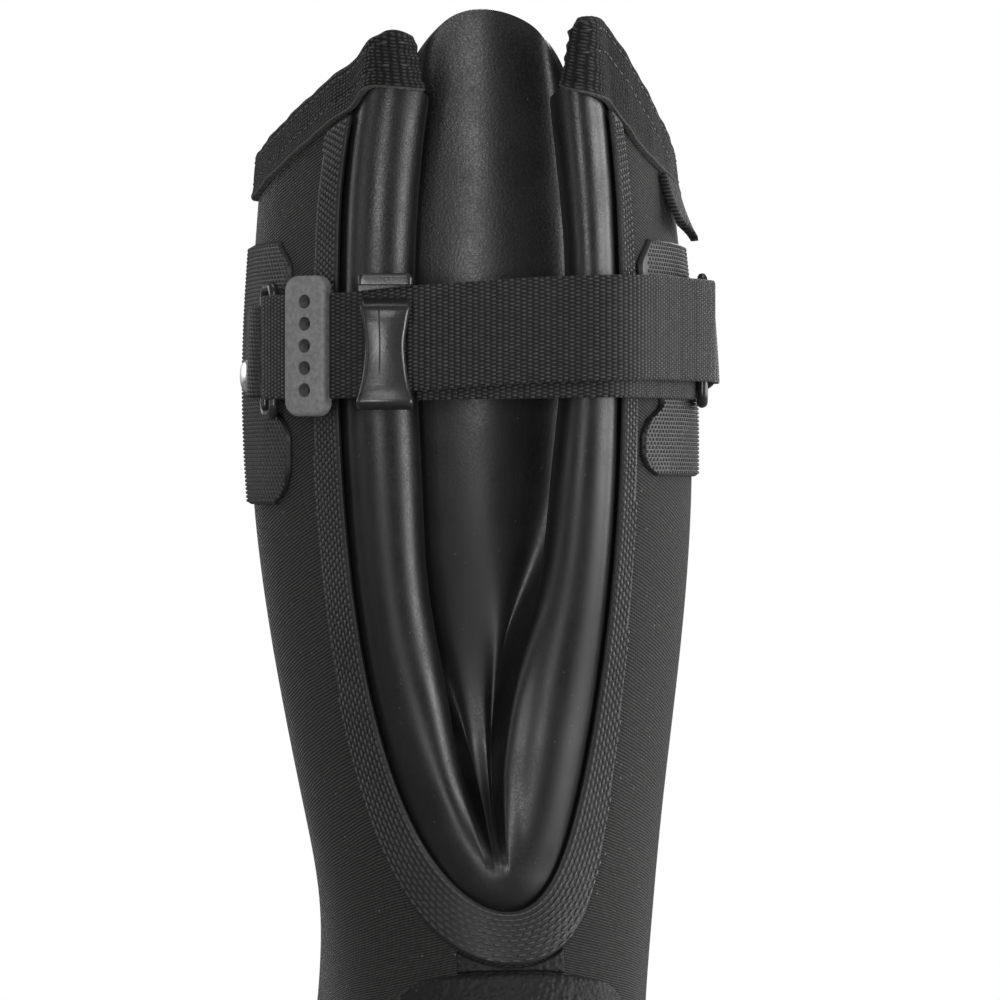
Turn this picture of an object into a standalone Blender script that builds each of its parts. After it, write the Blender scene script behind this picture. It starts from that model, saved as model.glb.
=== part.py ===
"""Tall rubber work boot for the left foot, built as an assembly of separate pieces.

Sizes below are millimetres in the last's own frame: +Y points to the toe, -X to the outer side,
+Z up, with the tread on z = 0.  The finished pieces are metres, under one parent empty that
brings the middle of the whole boot's footprint to the origin.
"""
import math

import bmesh
import bpy
import numpy as np

for old_object in list(bpy.data.objects):
    bpy.data.objects.remove(old_object, do_unlink=True)

MILLIMETRE = 0.001
CLEARANCE = 0.3
SHARP_ANGLE = math.radians(35)

# The last: one row for each section, tilted from a point on the back line to one on the front
# line, with half widths at even angles round the section
SECTION_COLUMNS = ("back_y", "back_z", "front_y", "front_z", "half_30", "half_60", "half_90",
                   "half_120", "half_150", "lean", "swing", "drop")
SECTIONS = np.array([
    (10.0, 28.0, 292.0, 28.0, 24.0, 32.0, 33.0, 48.0, 35.0, 0.0, 10.0, 9.0),
    (6.0, 42.0, 297.0, 42.0, 27.0, 36.0, 37.0, 51.5, 39.0, 0.0, 10.0, 6.0),
    (4.5, 58.0, 290.0, 64.0, 28.0, 37.5, 38.5, 50.0, 33.0, 0.0, 9.0, 2.0),
    (6.0, 76.0, 262.0, 84.0, 27.5, 38.0, 39.0, 44.5, 28.0, 0.0, 6.0, 0.0),
    (11.0, 94.0, 224.0, 102.0, 26.0, 38.0, 40.0, 40.0, 25.0, 0.0, 3.0, 0.0),
    (18.0, 112.0, 188.0, 126.0, 23.5, 37.0, 40.8, 38.0, 23.0, 0.0, 1.0, 0.0),
    (24.0, 131.0, 164.0, 154.0, 21.8, 36.8, 42.3, 37.5, 22.0, 0.0, 0.0, 0.0),
    (26.0, 152.0, 150.0, 182.0, 21.8, 37.8, 45.6, 39.0, 22.5, -1.2, 0.0, 0.0),
    (22.0, 186.0, 146.0, 213.0, 23.8, 41.4, 50.6, 43.0, 25.0, -2.8, 0.0, 0.0),
    (12.0, 230.0, 148.0, 246.0, 26.0, 44.8, 55.0, 46.8, 27.0, -4.2, 0.0, 0.0),
    (2.0, 285.0, 152.0, 290.0, 26.5, 45.2, 55.4, 47.0, 27.4, -5.6, 0.0, 0.0),
    (0.0, 335.0, 153.0, 335.0, 24.6, 42.0, 51.4, 43.6, 25.4, -6.6, 0.0, 0.0),
    (0.0, 385.0, 153.0, 385.0, 23.6, 40.4, 49.2, 41.8, 24.4, -7.2, 0.0, 0.0),
])
LEVELS = SECTIONS[:, SECTION_COLUMNS.index("back_z")]
STATIONS = 12
STATION_STEP = 360.0 / STATIONS
STATION_ANGLES = np.radians(np.arange(STATIONS) * STATION_STEP)
STATION_ALONG = (1 - np.cos(STATION_ANGLES)) / 2
HALF_SWING = (0.0, -0.05, -0.15, -0.35, 0.1, 0.75, 1.0)
HALF_DROP = (0.0, 0.0, 0.1, 0.55, 1.0, 0.5, 0.0)
SWING = np.array(HALF_SWING + HALF_SWING[-2:0:-1])
DROP = np.array(HALF_DROP + HALF_DROP[-2:0:-1])

# Upper wall, throat at the back and collar
WALL = 4.0
FEATHER = 28.0
THROAT_FLOOR = 145.5
THROAT_RISE = 150.0
THROAT_HALF = 40.0
THROAT_DRIFT = -4.2
THROAT_NIP = 5.0
THROAT_NIP_START = 312.0
THROAT_NIP_SPAN = 33.0
THROAT_TOP = 362.0
COLLAR_SIDE = 334.2
COLLAR_FRONT_RISE = 6.0
COLLAR_RISES = {"inner": 40.0, "outer": 27.8}
COLLAR_POWERS = {"inner": 1.75, "outer": 1.35}
CORNER_Z = 348.0
COLUMNS_AROUND = 40


def spline_bends(knots, values):
    """Second derivatives, at the knots, of the natural cubic spline through each column."""
    step = np.diff(knots)[:, None]
    slope = np.diff(values, axis=0) / step
    system = np.eye(len(knots))
    right = np.zeros_like(values)
    for i in range(1, len(knots) - 1):
        system[i, i - 1:i + 2] = step[i - 1, 0], 2 * (step[i - 1, 0] + step[i, 0]), step[i, 0]
        right[i] = 6 * (slope[i] - slope[i - 1])
    return np.linalg.solve(system, right)


SECTION_BENDS = spline_bends(LEVELS, SECTIONS)


def section_at(level):
    """Every column of the last's table at a back-line height, by natural cubic spline."""
    i = np.clip(np.searchsorted(LEVELS, level) - 1, 0, len(LEVELS) - 2)
    step = (LEVELS[i + 1] - LEVELS[i])[..., None]
    upper = (level - LEVELS[i])[..., None] / step
    lower = 1 - upper
    bend = (lower**3 - lower) * SECTION_BENDS[i] + (upper**3 - upper) * SECTION_BENDS[i + 1]
    row = lower * SECTIONS[i] + upper * SECTIONS[i + 1] + bend * step**2 / 6
    return {name: row[..., k] for k, name in enumerate(SECTION_COLUMNS)}


def ring_matrix():
    """Solves for the control points of a closed cubic B-spline through the stations."""
    near = np.roll(np.eye(STATIONS), 1, axis=1)
    return np.linalg.inv((4 * np.eye(STATIONS) + near + near.T) / 6)


RING_MATRIX = ring_matrix()


def last_point(angle, level):
    """Outer face of the upper at an angle round from the back seam by way of the inner side.

    The section's stations come from the table, and a closed cubic B-spline runs through them.
    """
    angle, level = np.broadcast_arrays(np.asarray(angle, float), np.asarray(level, float))
    row = section_at(level)
    inner_side = [np.zeros_like(level)] + [row[f"half_{a}"] for a in (30, 60, 90, 120, 150)]
    outer_side = [-half for half in inner_side[:0:-1]]
    half = np.stack(inner_side + [np.zeros_like(level)] + outer_side, -1)
    x = row["lean"][..., None] + row["swing"][..., None] * SWING + half
    y = row["back_y"][..., None] + (row["front_y"] - row["back_y"])[..., None] * STATION_ALONG
    rise = (row["front_z"] - row["back_z"])[..., None] * STATION_ALONG
    z = row["back_z"][..., None] + rise - row["drop"][..., None] * DROP
    control = np.einsum("ij,...jk->...ik", RING_MATRIX, np.stack([x, y, z], -1))
    place = np.mod(angle / STATION_STEP, STATIONS)
    base = np.floor(place).astype(int)
    f = (place - base)[..., None]
    weights = ((1 - f)**3, 3 * f**3 - 6 * f**2 + 4, -3 * f**3 + 3 * f**2 + 3 * f + 1, f**3)
    point = 0.0
    for k, weight in enumerate(weights):
        index = np.mod(base + k - 1, STATIONS)[..., None, None]
        point = point + weight / 6 * np.take_along_axis(control, index, axis=-2)[..., 0, :]
    return point


def face_point(angle, level, offset=0.0):
    """The outer face moved along its own outward normal."""
    small = 0.5
    across = last_point(angle + small, level) - last_point(angle - small, level)
    up = last_point(angle, level + small) - last_point(angle, level - small)
    normal = np.cross(across, up)
    normal = normal / np.linalg.norm(normal, axis=-1, keepdims=True)
    return last_point(angle, level) + normal * np.asarray(offset, float)[..., None]


SWEEP_ANGLES = np.linspace(-165, 165, 111)


def wrap(arc, z):
    """Angle and level of the spot at height z, an arc length round from the back seam."""
    arc, z = np.broadcast_arrays(np.asarray(arc, float), np.asarray(z, float))
    level = z.copy()
    spacing = SWEEP_ANGLES[1] - SWEEP_ANGLES[0]
    for _ in range(5):
        ring = last_point(SWEEP_ANGLES, level[..., None])
        step = np.linalg.norm(np.diff(ring, axis=-2), axis=-1)
        length = np.concatenate([np.zeros(level.shape + (1,)), np.cumsum(step, -1)], -1)
        length = length - length[..., len(SWEEP_ANGLES) // 2, None]
        i = np.clip((length < arc[..., None]).sum(-1) - 1, 0, len(SWEEP_ANGLES) - 2)
        low = np.take_along_axis(length, i[..., None], -1)[..., 0]
        high = np.take_along_axis(length, i[..., None] + 1, -1)[..., 0]
        angle = SWEEP_ANGLES[i] + (arc - low) / (high - low) * spacing
        level = level + z - last_point(angle, level)[..., 2]
    return angle, level


def back_point(arc, z, offset=0.0):
    """A point on or over the shaft, by arc length from the back seam, height and offset."""
    angle, level = wrap(arc, z)
    return face_point(angle, level, offset)


def smooth(value):
    """Smooth step from 0 to 1."""
    t = np.clip(value, 0.0, 1.0)
    return t * t * (3 - 2 * t)


def throat_half(z, grow=0.0):
    """Half opening of the throat: a half ellipse, then straight, nipped in at the collar."""
    t = np.clip((z - THROAT_FLOOR + grow) / (THROAT_RISE + grow), 0.0, 1.0)
    nip = THROAT_NIP * np.clip((z - THROAT_NIP_START) / THROAT_NIP_SPAN, 0.0, None)**2
    return (THROAT_HALF + grow) * np.sqrt(1 - (1 - t)**2) - nip * (t > 0)


def throat_centre(z):
    """The throat's middle line drifts towards the outer side between its two ends."""
    share = np.clip((z - THROAT_FLOOR) / (THROAT_TOP - THROAT_FLOOR), 0, 1)
    return THROAT_DRIFT * (1 - (1 - 2 * share)**4)


def collar_height(angle):
    """Height of the collar edge, lowest at the sides and highest over the back corners."""
    turn = np.radians(angle)
    c = np.cos(turn)
    inner, outer = (COLLAR_RISES[side] * np.clip(c, 0, None)**COLLAR_POWERS[side]
                    for side in ("inner", "outer"))
    back = np.where(np.sin(turn) > 0, inner, outer)
    return COLLAR_SIDE + np.where(c > 0, back, COLLAR_FRONT_RISE * c**2)


def collar_level(angle, below=0.0):
    """Level whose point at this angle lies at, or a distance under, the collar edge."""
    level = collar_height(angle) - below
    for _ in range(4):
        level = level + collar_height(angle) - below - last_point(angle, level)[..., 2]
    return level


# Meshes and materials
def material(name, colour, roughness, metallic=0.0):
    """A Principled material."""
    made = bpy.data.materials.new(name)
    made.use_nodes = True
    shader = made.node_tree.nodes["Principled BSDF"]
    shader.inputs["Base Color"].default_value = (*colour, 1.0)
    shader.inputs["Roughness"].default_value = roughness
    shader.inputs["Metallic"].default_value = metallic
    return made


def add_mesh(name, points, faces, surface, closed=True):
    """An object from millimetre points, with doubled points merged and a solid's faces outward."""
    mesh = bpy.data.meshes.new(name)
    flat = np.asarray(points, float).reshape(-1, 3) * MILLIMETRE
    mesh.from_pydata(flat.tolist(), [], faces)
    work = bmesh.new()
    work.from_mesh(mesh)
    bmesh.ops.remove_doubles(work, verts=work.verts, dist=1e-6)
    bmesh.ops.dissolve_degenerate(work, edges=work.edges, dist=1e-7)
    if closed:
        bmesh.ops.recalc_face_normals(work, faces=work.faces)
    work.to_mesh(mesh)
    work.free()
    mesh.materials.append(surface)
    mesh.shade_smooth()
    mesh.set_sharp_from_angle(angle=SHARP_ANGLE)
    made = bpy.data.objects.new(name, mesh)
    bpy.context.scene.collection.objects.link(made)
    return made


def grid_faces(rows, columns, closed=False, mirror_first=False):
    """Triangles of a grid, wrapped round when it is closed, all split along the same diagonal.

    The first column can be split the other way, as the mirror of the last one.
    """
    last = columns if closed else columns - 1
    faces = []
    for i in range(rows - 1):
        for j in range(last):
            low, low_next = i * columns + j, i * columns + (j + 1) % columns
            high, high_next = low + columns, low_next + columns
            if j == 0 and mirror_first:
                faces += [(low, low_next, high), (low_next, high_next, high)]
            else:
                faces += [(low, low_next, high_next), (low, high_next, high)]
    return faces


def shell(name, outer, inner, surface):
    """Closed solid between two open grids of the same layout."""
    rows, columns = outer.shape[:2]
    count = rows * columns
    top = grid_faces(rows, columns)
    bottom = [tuple(count + k for k in reversed(face)) for face in top]
    edge = ([i * columns for i in range(rows)]
            + [(rows - 1) * columns + j for j in range(1, columns)]
            + [i * columns + columns - 1 for i in range(rows - 2, -1, -1)]
            + [j for j in range(columns - 2, 0, -1)])
    rim = [(a, b, b + count, a + count) for a, b in zip(edge, edge[1:] + edge[:1])]
    points = np.concatenate([outer.reshape(-1, 3), inner.reshape(-1, 3)])
    return add_mesh(name, points, top + bottom + rim, surface)


def sweep(name, sections, surface, closed=False):
    """Solid through a row of closed profiles, capped at both ends unless the path closes."""
    rows, columns = sections.shape[:2]
    if closed:
        sections = np.concatenate([sections, sections[:1]])
        return add_mesh(name, sections, grid_faces(rows + 1, columns, closed=True), surface)
    caps = [tuple(range(columns)), tuple((rows - 1) * columns + j for j in range(columns))]
    return add_mesh(name, sections, grid_faces(rows, columns, closed=True) + caps, surface)


def smooth_curve(points, count):
    """Evenly numbered points on a natural cubic spline through control points."""
    knots = np.concatenate([[0.0], np.cumsum(np.linalg.norm(np.diff(points, axis=0), axis=1))])
    bends = spline_bends(knots, points)
    place = np.linspace(0, knots[-1], count)
    i = np.clip(np.searchsorted(knots, place) - 1, 0, len(knots) - 2)
    step = (knots[i + 1] - knots[i])[:, None]
    upper = (place - knots[i])[:, None] / step
    lower = 1 - upper
    bend = (lower**3 - lower) * bends[i] + (upper**3 - upper) * bends[i + 1]
    return lower * points[i] + upper * points[i + 1] + bend * step**2 / 6


def placed(points, origin, tangent, outward):
    """Local points (along, up, out) set at an origin, with a level tangent and outward axis."""
    points = np.asarray(points, float)
    up = np.array([0.0, 0.0, 1.0])
    return origin + points[..., :1] * tangent + points[..., 1:2] * up + points[..., 2:] * outward


def cut(target, cutter):
    """Subtract a hidden cutter from a piece."""
    cutter.hide_render = True
    cutter.display_type = "WIRE"
    step = target.modifiers.new("cut", "BOOLEAN")
    step.operation = "DIFFERENCE"
    step.solver = "EXACT"
    step.object = cutter


def level_directions(path):
    """Unit tangents of a level path and the directions out of the boot beside them."""
    tangent = np.gradient(path[:, :2], axis=0)
    tangent = tangent / np.linalg.norm(tangent, axis=1, keepdims=True)
    return tangent, np.stack([tangent[:, 1], -tangent[:, 0]], -1)


foam = material("shaft_fabric", (0.035, 0.036, 0.036), 0.85)
smooth_rubber = material("smooth_rubber", (0.03, 0.03, 0.03), 0.4)
textured_rubber = material("textured_rubber", (0.035, 0.035, 0.035), 0.6)
sole_rubber = material("sole_rubber", (0.03, 0.03, 0.03), 0.65)
knit_tape = material("binding_knit", (0.04, 0.04, 0.04), 0.9)
webbing = material("webbing", (0.045, 0.045, 0.045), 0.75)
plastic = material("black_plastic", (0.06, 0.06, 0.06), 0.4)
rivet_metal = material("rivet_metal", (0.7, 0.7, 0.7), 0.3, 1.0)
insole_cloth = material("insole_fabric", (0.08, 0.08, 0.08), 0.9)

# Upper: one foam wall from the feather edge to the collar, notched at the back
FOOT_LEVELS = (28.0, 35.0, 43.0, 52.0, 62.0, 72.0, 83.0, 94.0, 106.0, 118.0, 131.0)
NOTCH_LAP = 3.2
NOTCH_TURNS = np.radians([0, 12, 20, 28, 37, 48, 62, 76, 90])
COLLAR_SHARES = (0.35, 0.7, 1.0)
BINDING_THICK = 1.3
WALL_DROP = BINDING_THICK + CLEARANCE


def upper_grid():
    """Points of the wall's outer face: whole rings on the foot, open rings over the throat."""
    share = np.linspace(0, 1, COLUMNS_AROUND + 1)
    rows = [face_point(360 * share, np.full_like(share, level)) for level in FOOT_LEVELS]
    floor = THROAT_FLOOR - NOTCH_LAP
    for z in floor + (THROAT_RISE + NOTCH_LAP) * (1 - np.cos(NOTCH_TURNS)):
        edges = throat_centre(z) + throat_half(z, NOTCH_LAP) * np.array([1.0, -1.0])
        angle, level = wrap(edges, z)
        angles = angle[0] + (angle[1] + 360 - angle[0]) * share
        levels = level[0] + (level[1] - level[0]) * share
        rows.append(face_point(angles, levels))
    straight_top = z
    for part in COLLAR_SHARES:
        z = straight_top + part * (CORNER_Z - straight_top)
        edges = throat_centre(z) + throat_half(z, NOTCH_LAP) * np.array([1.0, -1.0])
        angle, _ = wrap(edges, z)
        angles = angle[0] + (angle[1] + 360 - angle[0]) * share
        top = collar_level(angles, WALL_DROP)
        rows.append(face_point(angles, levels + part * (top - levels)))
    return np.array(rows)


def build_upper():
    grid = upper_grid()
    faces = grid_faces(*grid.shape[:2], mirror_first=True)
    made = add_mesh("upper", grid, faces, foam, closed=False)
    wall = made.modifiers.new("wall", "SOLIDIFY")
    wall.thickness = WALL * MILLIMETRE
    wall.offset = -1.0
    return made


# Foot shell and heel counter: rubber moulded over the foam, meeting beside the heel
SHELL_THICK = 2.0
COUNTER_STAND = 0.55
COUNTER_THICK = 2.4
COUNTER_COLUMNS = 4
COUNTER_ANGLE = COUNTER_COLUMNS * 360.0 / COLUMNS_AROUND
COUNTER_TOP = 130.6
COUNTER_CROWN = 10.0
SHELL_LEVELS = FOOT_LEVELS[:8]


def overlay(name, angles, levels, stand, thick, surface):
    """Rubber layer over the foot, its lower edge level with the feather edge."""
    outer = face_point(angles, levels, stand + thick)
    inner = face_point(angles, levels, stand)
    for face in (outer, inner):
        face[0, :, 2] = last_point(angles, levels[0])[:, 2]
    return shell(name, outer, inner, surface)


def build_foot_shell():
    """Grid that shares the upper's columns, so both follow the same facets."""
    angles = np.linspace(COUNTER_ANGLE, 360 - COUNTER_ANGLE, COLUMNS_AROUND - 2 * COUNTER_COLUMNS + 1)
    levels = [np.full_like(angles, level) for level in SHELL_LEVELS]
    return overlay("foot_shell", angles, np.array(levels), CLEARANCE, SHELL_THICK,
                   smooth_rubber)


def counter_top(share):
    """Height of the counter's crown across its width, a flat half ellipse."""
    return COUNTER_TOP - COUNTER_CROWN * (1 - np.sqrt(1 - np.clip(np.abs(share), 0, 1)**2))


def build_heel_counter():
    half = COUNTER_ANGLE - CLEARANCE
    share = np.linspace(-1, 1, 2 * COUNTER_COLUMNS + 1)
    straight = COUNTER_TOP - COUNTER_CROWN
    levels = [np.full_like(share, level) for level in FOOT_LEVELS if level < straight - 2]
    levels += [levels[-1] + (counter_top(share) - levels[-1]) * part for part in (0.5, 1.0)]
    return overlay("heel_counter", half * share, np.array(levels), COUNTER_STAND, COUNTER_THICK,
                   textured_rubber)


# Outsole and insole: rings offset from the feather edge
SOLE_LEDGE = 4.5
SOLE_RIB = 6.0
TOE_SPRING = 16.0
SPRING_START = 225.0
SPRING_RUN = 78.0
SOLE_RINGS = (
    # width share, offset, height share
    (0.0, 0.0, 0.0), (1.0, 1.5, 0.0), (1.0, 4.0, 0.16), (1.0, 4.0, 0.44), (1.0, SOLE_RIB, 0.5),
    (1.0, SOLE_RIB, 0.72), (1.0, SOLE_LEDGE, 0.78), (1.0, SOLE_LEDGE, 1.0), (0.0, 0.0, 1.0))
INSOLE_THICK = 4.0
INSOLE_GAP = 1.2
TREAD_HALF_WIDTH = 80.0
GROOVE_DEPTH = 5.0
GROOVE_WIDTH = 5.0
HEEL_GROOVES = (28.0, 46.0, 64.0)
FOREFOOT_GROOVES = (156.0, 174.0, 192.0, 210.0, 230.0, 250.0, 270.0)
HEEL_BREAST = 86.0
ARCH_TOP = 10.0
ARCH_LENGTH = 52.0


def sole_bottom(y):
    """Height of the tread: flat under heel and forefoot, lifting to the toe."""
    return TOE_SPRING * np.clip((y - SPRING_START) / SPRING_RUN, 0, None)**2


def feather_ring(offset, width_share=1.0):
    """The feather edge moved out level, or drawn in to the middle line of the foot."""
    angles = np.arange(COLUMNS_AROUND) * 360.0 / COLUMNS_AROUND
    ring = last_point(angles, np.full_like(angles, FEATHER))
    ahead = last_point(angles + 1, np.full_like(angles, FEATHER))
    behind = last_point(angles - 1, np.full_like(angles, FEATHER))
    tangent = (ahead - behind)[:, :2]
    tangent = tangent / np.linalg.norm(tangent, axis=1, keepdims=True)
    ring[:, :2] += offset * np.stack([tangent[:, 1], -tangent[:, 0]], -1)
    mirror = np.roll(ring[::-1], 1, axis=0)
    middle = (ring + mirror) / 2
    return middle + width_share * (ring - middle)


def prism(profile):
    """Points and faces of a bar across the sole with the given (y, z) outline."""
    profile = np.asarray(profile, float)
    count = len(profile)
    left = np.column_stack([np.full(count, -TREAD_HALF_WIDTH), profile])
    right = np.column_stack([np.full(count, TREAD_HALF_WIDTH), profile])
    sides = [(i, (i + 1) % count, count + (i + 1) % count, count + i) for i in range(count)]
    return np.concatenate([left, right]), sides + [tuple(range(count)), tuple(range(count, 2 * count))]


def tread_cutter():
    """Bars that cut the arch and the grooves between the lugs."""
    under = -6.0
    run = HEEL_BREAST + ARCH_LENGTH
    profiles = [[(HEEL_BREAST, under), (HEEL_BREAST + 2, ARCH_TOP), (HEEL_BREAST + 14, ARCH_TOP + 1.5),
                 (run - 14, ARCH_TOP - 3), (run - 3, 1.5), (run, under)]]
    for y in HEEL_GROOVES + FOREFOOT_GROOVES:
        top = float(sole_bottom(y)) + GROOVE_DEPTH
        profiles.append([(y, under), (y + 1, top), (y + GROOVE_WIDTH - 1, top), (y + GROOVE_WIDTH, under)])
    points, faces = [], []
    for profile in profiles:
        bar, sides = prism(profile)
        start = sum(len(done) for done in points)
        points.append(bar)
        faces += [tuple(start + k for k in side) for side in sides]
    return add_mesh("tread_cutter", np.concatenate(points), faces, sole_rubber)


def build_outsole():
    rings = []
    for width_share, offset, height_share in SOLE_RINGS:
        ring = feather_ring(offset, width_share)
        bottom = sole_bottom(ring[:, 1])
        ring[:, 2] = bottom + (ring[:, 2] - CLEARANCE - bottom) * height_share
        rings.append(ring)
    rings = np.array(rings)
    faces = grid_faces(len(rings), COLUMNS_AROUND, closed=True)
    made = add_mesh("outsole", rings, faces, sole_rubber)
    cutter = tread_cutter()
    cut(made, cutter)
    return made, cutter


def build_insole():
    inset = -(WALL + INSOLE_GAP)
    rings = []
    for width_share, lift in ((0.0, 0.0), (1.0, 0.0), (1.0, INSOLE_THICK), (0.0, INSOLE_THICK)):
        ring = feather_ring(inset, width_share)
        ring[:, 2] += lift
        rings.append(ring)
    faces = grid_faces(len(rings), COLUMNS_AROUND, closed=True)
    return add_mesh("insole", np.array(rings), faces, insole_cloth)


# Gusset: a rubber sheet folded into two rolls and a sunk middle panel
SHEET = 1.8
SHEET_DEPTH = 2.0
GUSSET_LAP = 2.2
FOLD_COLUMNS = ("roll", "panel", "plain", "depth", "inner", "outer", "lift")
FOLD = np.array([
    (0.00, 0.00, 0.00, 1.1, 1.1, 1.1, 3.0),
    (0.09, 0.00, 0.10, 4.3, 5.0, 3.6, 3.0),
    (0.27, 0.00, 0.25, 7.2, 7.5, 6.0, 3.0),
    (0.51, 0.00, 0.39, 8.4, 7.9, 7.6, 3.0),
    (0.75, 0.00, 0.50, 7.3, 7.2, 8.1, 3.0),
    (0.93, 0.00, 0.59, 4.3, 6.8, 7.4, 1.5),
    (1.00, 0.00, 0.66, 0.3, 6.0, 6.0, 0.5),
    (0.93, 0.00, 0.69, -3.3, 4.6, 4.6, 0.0),
    (0.75, 0.00, 0.73, -6.0, 2.2, 2.2, 0.0),
    (0.64, 0.00, 0.78, -8.6, -1.0, -1.0, 2.0),
    (0.78, 0.00, 0.84, -10.9, -4.2, -4.2, 8.0),
    (1.00, 0.40, 0.91, -10.7, -6.4, -6.4, 20.3),
    (1.00, 1.00, 1.00, -8.8, -7.2, -7.2, 22.8)])
CREST_ROW = 3
NOSE_ROW = 6
NOSE_PLAIN = FOLD[NOSE_ROW, FOLD_COLUMNS.index("plain")]
NOSE_HEIGHTS = (150.0, 163.0, 178.0, 194.0, 207.0, 223.0, 247.0, 304.0, 342.0)
NOSE_OPENING = {
    "inner": (1.2, 2.6, 4.3, 7.2, 10.2, 14.3, 17.4, 21.6, 17.6),
    "outer": (2.0, 5.2, 8.0, 9.6, 11.5, 13.9, 15.2, 16.4, 13.7)}
NOSE_LEAST = 0.2
PLEAT_HEIGHTS = {"inner": (190.0, 250.0), "outer": (165.0, 215.0)}
FOLD_START = 1.0
FOLD_SPAN = 16.0
LIP_EDGE = 1.1
LIP_RISE = 5.5
PANEL_START = 12.0
PANEL_SPAN = 12.0
GUSSET_TOP_ROWS = (311.0, 327.0, 343.0)
LIFT_START = 311.0


def gusset_section(z):
    """One level row of the folded sheet, from the inner edge of the throat to the outer.

    Across the chord between the throat's edges, each fold point lies a share of the roll and of
    the middle panel in from the edge, and stands out by its depth.  Towards the floor of the
    throat each pleat opens out into a soft ridge beside a shallow bowl, which ends at a round lip.
    """
    z = np.asarray(z, float)
    both = np.array([1.0, -1.0])
    middle = throat_centre(z)[:, None]
    heights = np.repeat(z[:, None], 2, axis=1)
    lap = back_point(middle + throat_half(z, GUSSET_LAP)[:, None] * both, heights, -SHEET_DEPTH)
    edge = back_point(middle + throat_half(z)[:, None] * both, heights, -SHEET_DEPTH)
    centre = edge.mean(axis=1, keepdims=True)
    chord = (edge[:, :1] - edge[:, 1:]) / 2
    half = np.linalg.norm(chord, axis=-1)
    along = np.where(half[..., None] > 0.01, chord / np.maximum(half, 0.01)[..., None], (1.0, 0.0, 0.0))
    out = np.stack([along[..., 1], -along[..., 0], np.zeros_like(half)], -1)
    column = {name: FOLD[None, :, k] for k, name in enumerate(FOLD_COLUMNS)}
    plain = column["plain"]
    roll_fade = smooth((half - FOLD_START) / FOLD_SPAN)
    panel_fade = smooth((half - PANEL_START) / PANEL_SPAN)
    lift = column["lift"] * smooth((z[:, None] - LIFT_START) / (GUSSET_TOP_ROWS[-1] - LIFT_START))
    folds = {}
    for side, way in (("inner", 1.0), ("outer", -1.0)):
        nose = np.interp(z, NOSE_HEIGHTS, NOSE_OPENING[side])[:, None]
        nose = np.maximum(np.minimum(nose, half), NOSE_LEAST * half)
        low, high = PLEAT_HEIGHTS[side]
        pleat = smooth((z[:, None] - low) / (high - low))
        pleated = half - column["roll"] * (half - nose) - column["panel"] * nose
        opened = np.where(plain < NOSE_PLAIN, half - plain / NOSE_PLAIN * (half - nose),
                          nose * (1 - plain) / (1 - NOSE_PLAIN))
        across = way * (pleat * pleated + (1 - pleat) * opened)
        depth = pleat * column["depth"] + (1 - pleat) * column[side]
        lip = LIP_EDGE + LIP_RISE * (1 - (across / np.maximum(half, 0.01)) ** 2)
        depth = roll_fade * (lip + (depth - lip) * panel_fade)
        rise = np.stack([0 * lift, 0 * lift, lift], -1)
        folds[side] = centre + across[..., None] * along + depth[..., None] * out + rise
    row = [lap[:, :1], folds["inner"], folds["outer"][:, -2::-1], lap[:, 1:]]
    return np.concatenate(row, axis=1)


def build_gusset():
    floor = THROAT_FLOOR - GUSSET_LAP
    levels = floor + (THROAT_RISE + GUSSET_LAP) * (1 - np.cos(NOTCH_TURNS))
    levels = np.concatenate([levels, GUSSET_TOP_ROWS])
    grid = gusset_section(levels)[:, ::-1]
    faces = grid_faces(*grid.shape[:2], mirror_first=True)
    made = add_mesh("gusset", grid, faces, smooth_rubber, closed=False)
    sheet = made.modifiers.new("sheet", "SOLIDIFY")
    sheet.thickness = SHEET * MILLIMETRE
    sheet.offset = 0.0
    return made


# Trim: a textured band round the throat, and the strip between it and the counter
TRIM_THICK = 1.6
TRIM_WIDTHS = {"inner": 4.8, "outer": 9.5}
TRIM_FLOOR_WIDTH = 13.0
TRIM_FADE = 60.0
TRIM_TURNS = np.radians([0, 3, 6, 9, 12, 16, 20, 25, 31, 38, 47, 57, 68, 79, 90])
TRIM_STRAIGHT = (0.35, 0.7, 1.0)
TRIM_ACROSS = np.linspace(0, 1, 4)
BINDING_HEIGHT = 12.2
BINDING_EXTRA = 8.0
EXTRA_ANGLES = (80.0, 45.0)
STRIP_HALF = 13.4
STRIP_THICK = 1.0
STRIP_GAP = 0.5


def binding_height(angle):
    """Height of the binding's side, which grows towards the corner on the inner side."""
    none, full = EXTRA_ANGLES
    inner = np.mod(angle, 360) < 180
    return BINDING_HEIGHT + BINDING_EXTRA * inner * smooth((np.mod(angle, 360) - none) / (full - none))


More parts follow.
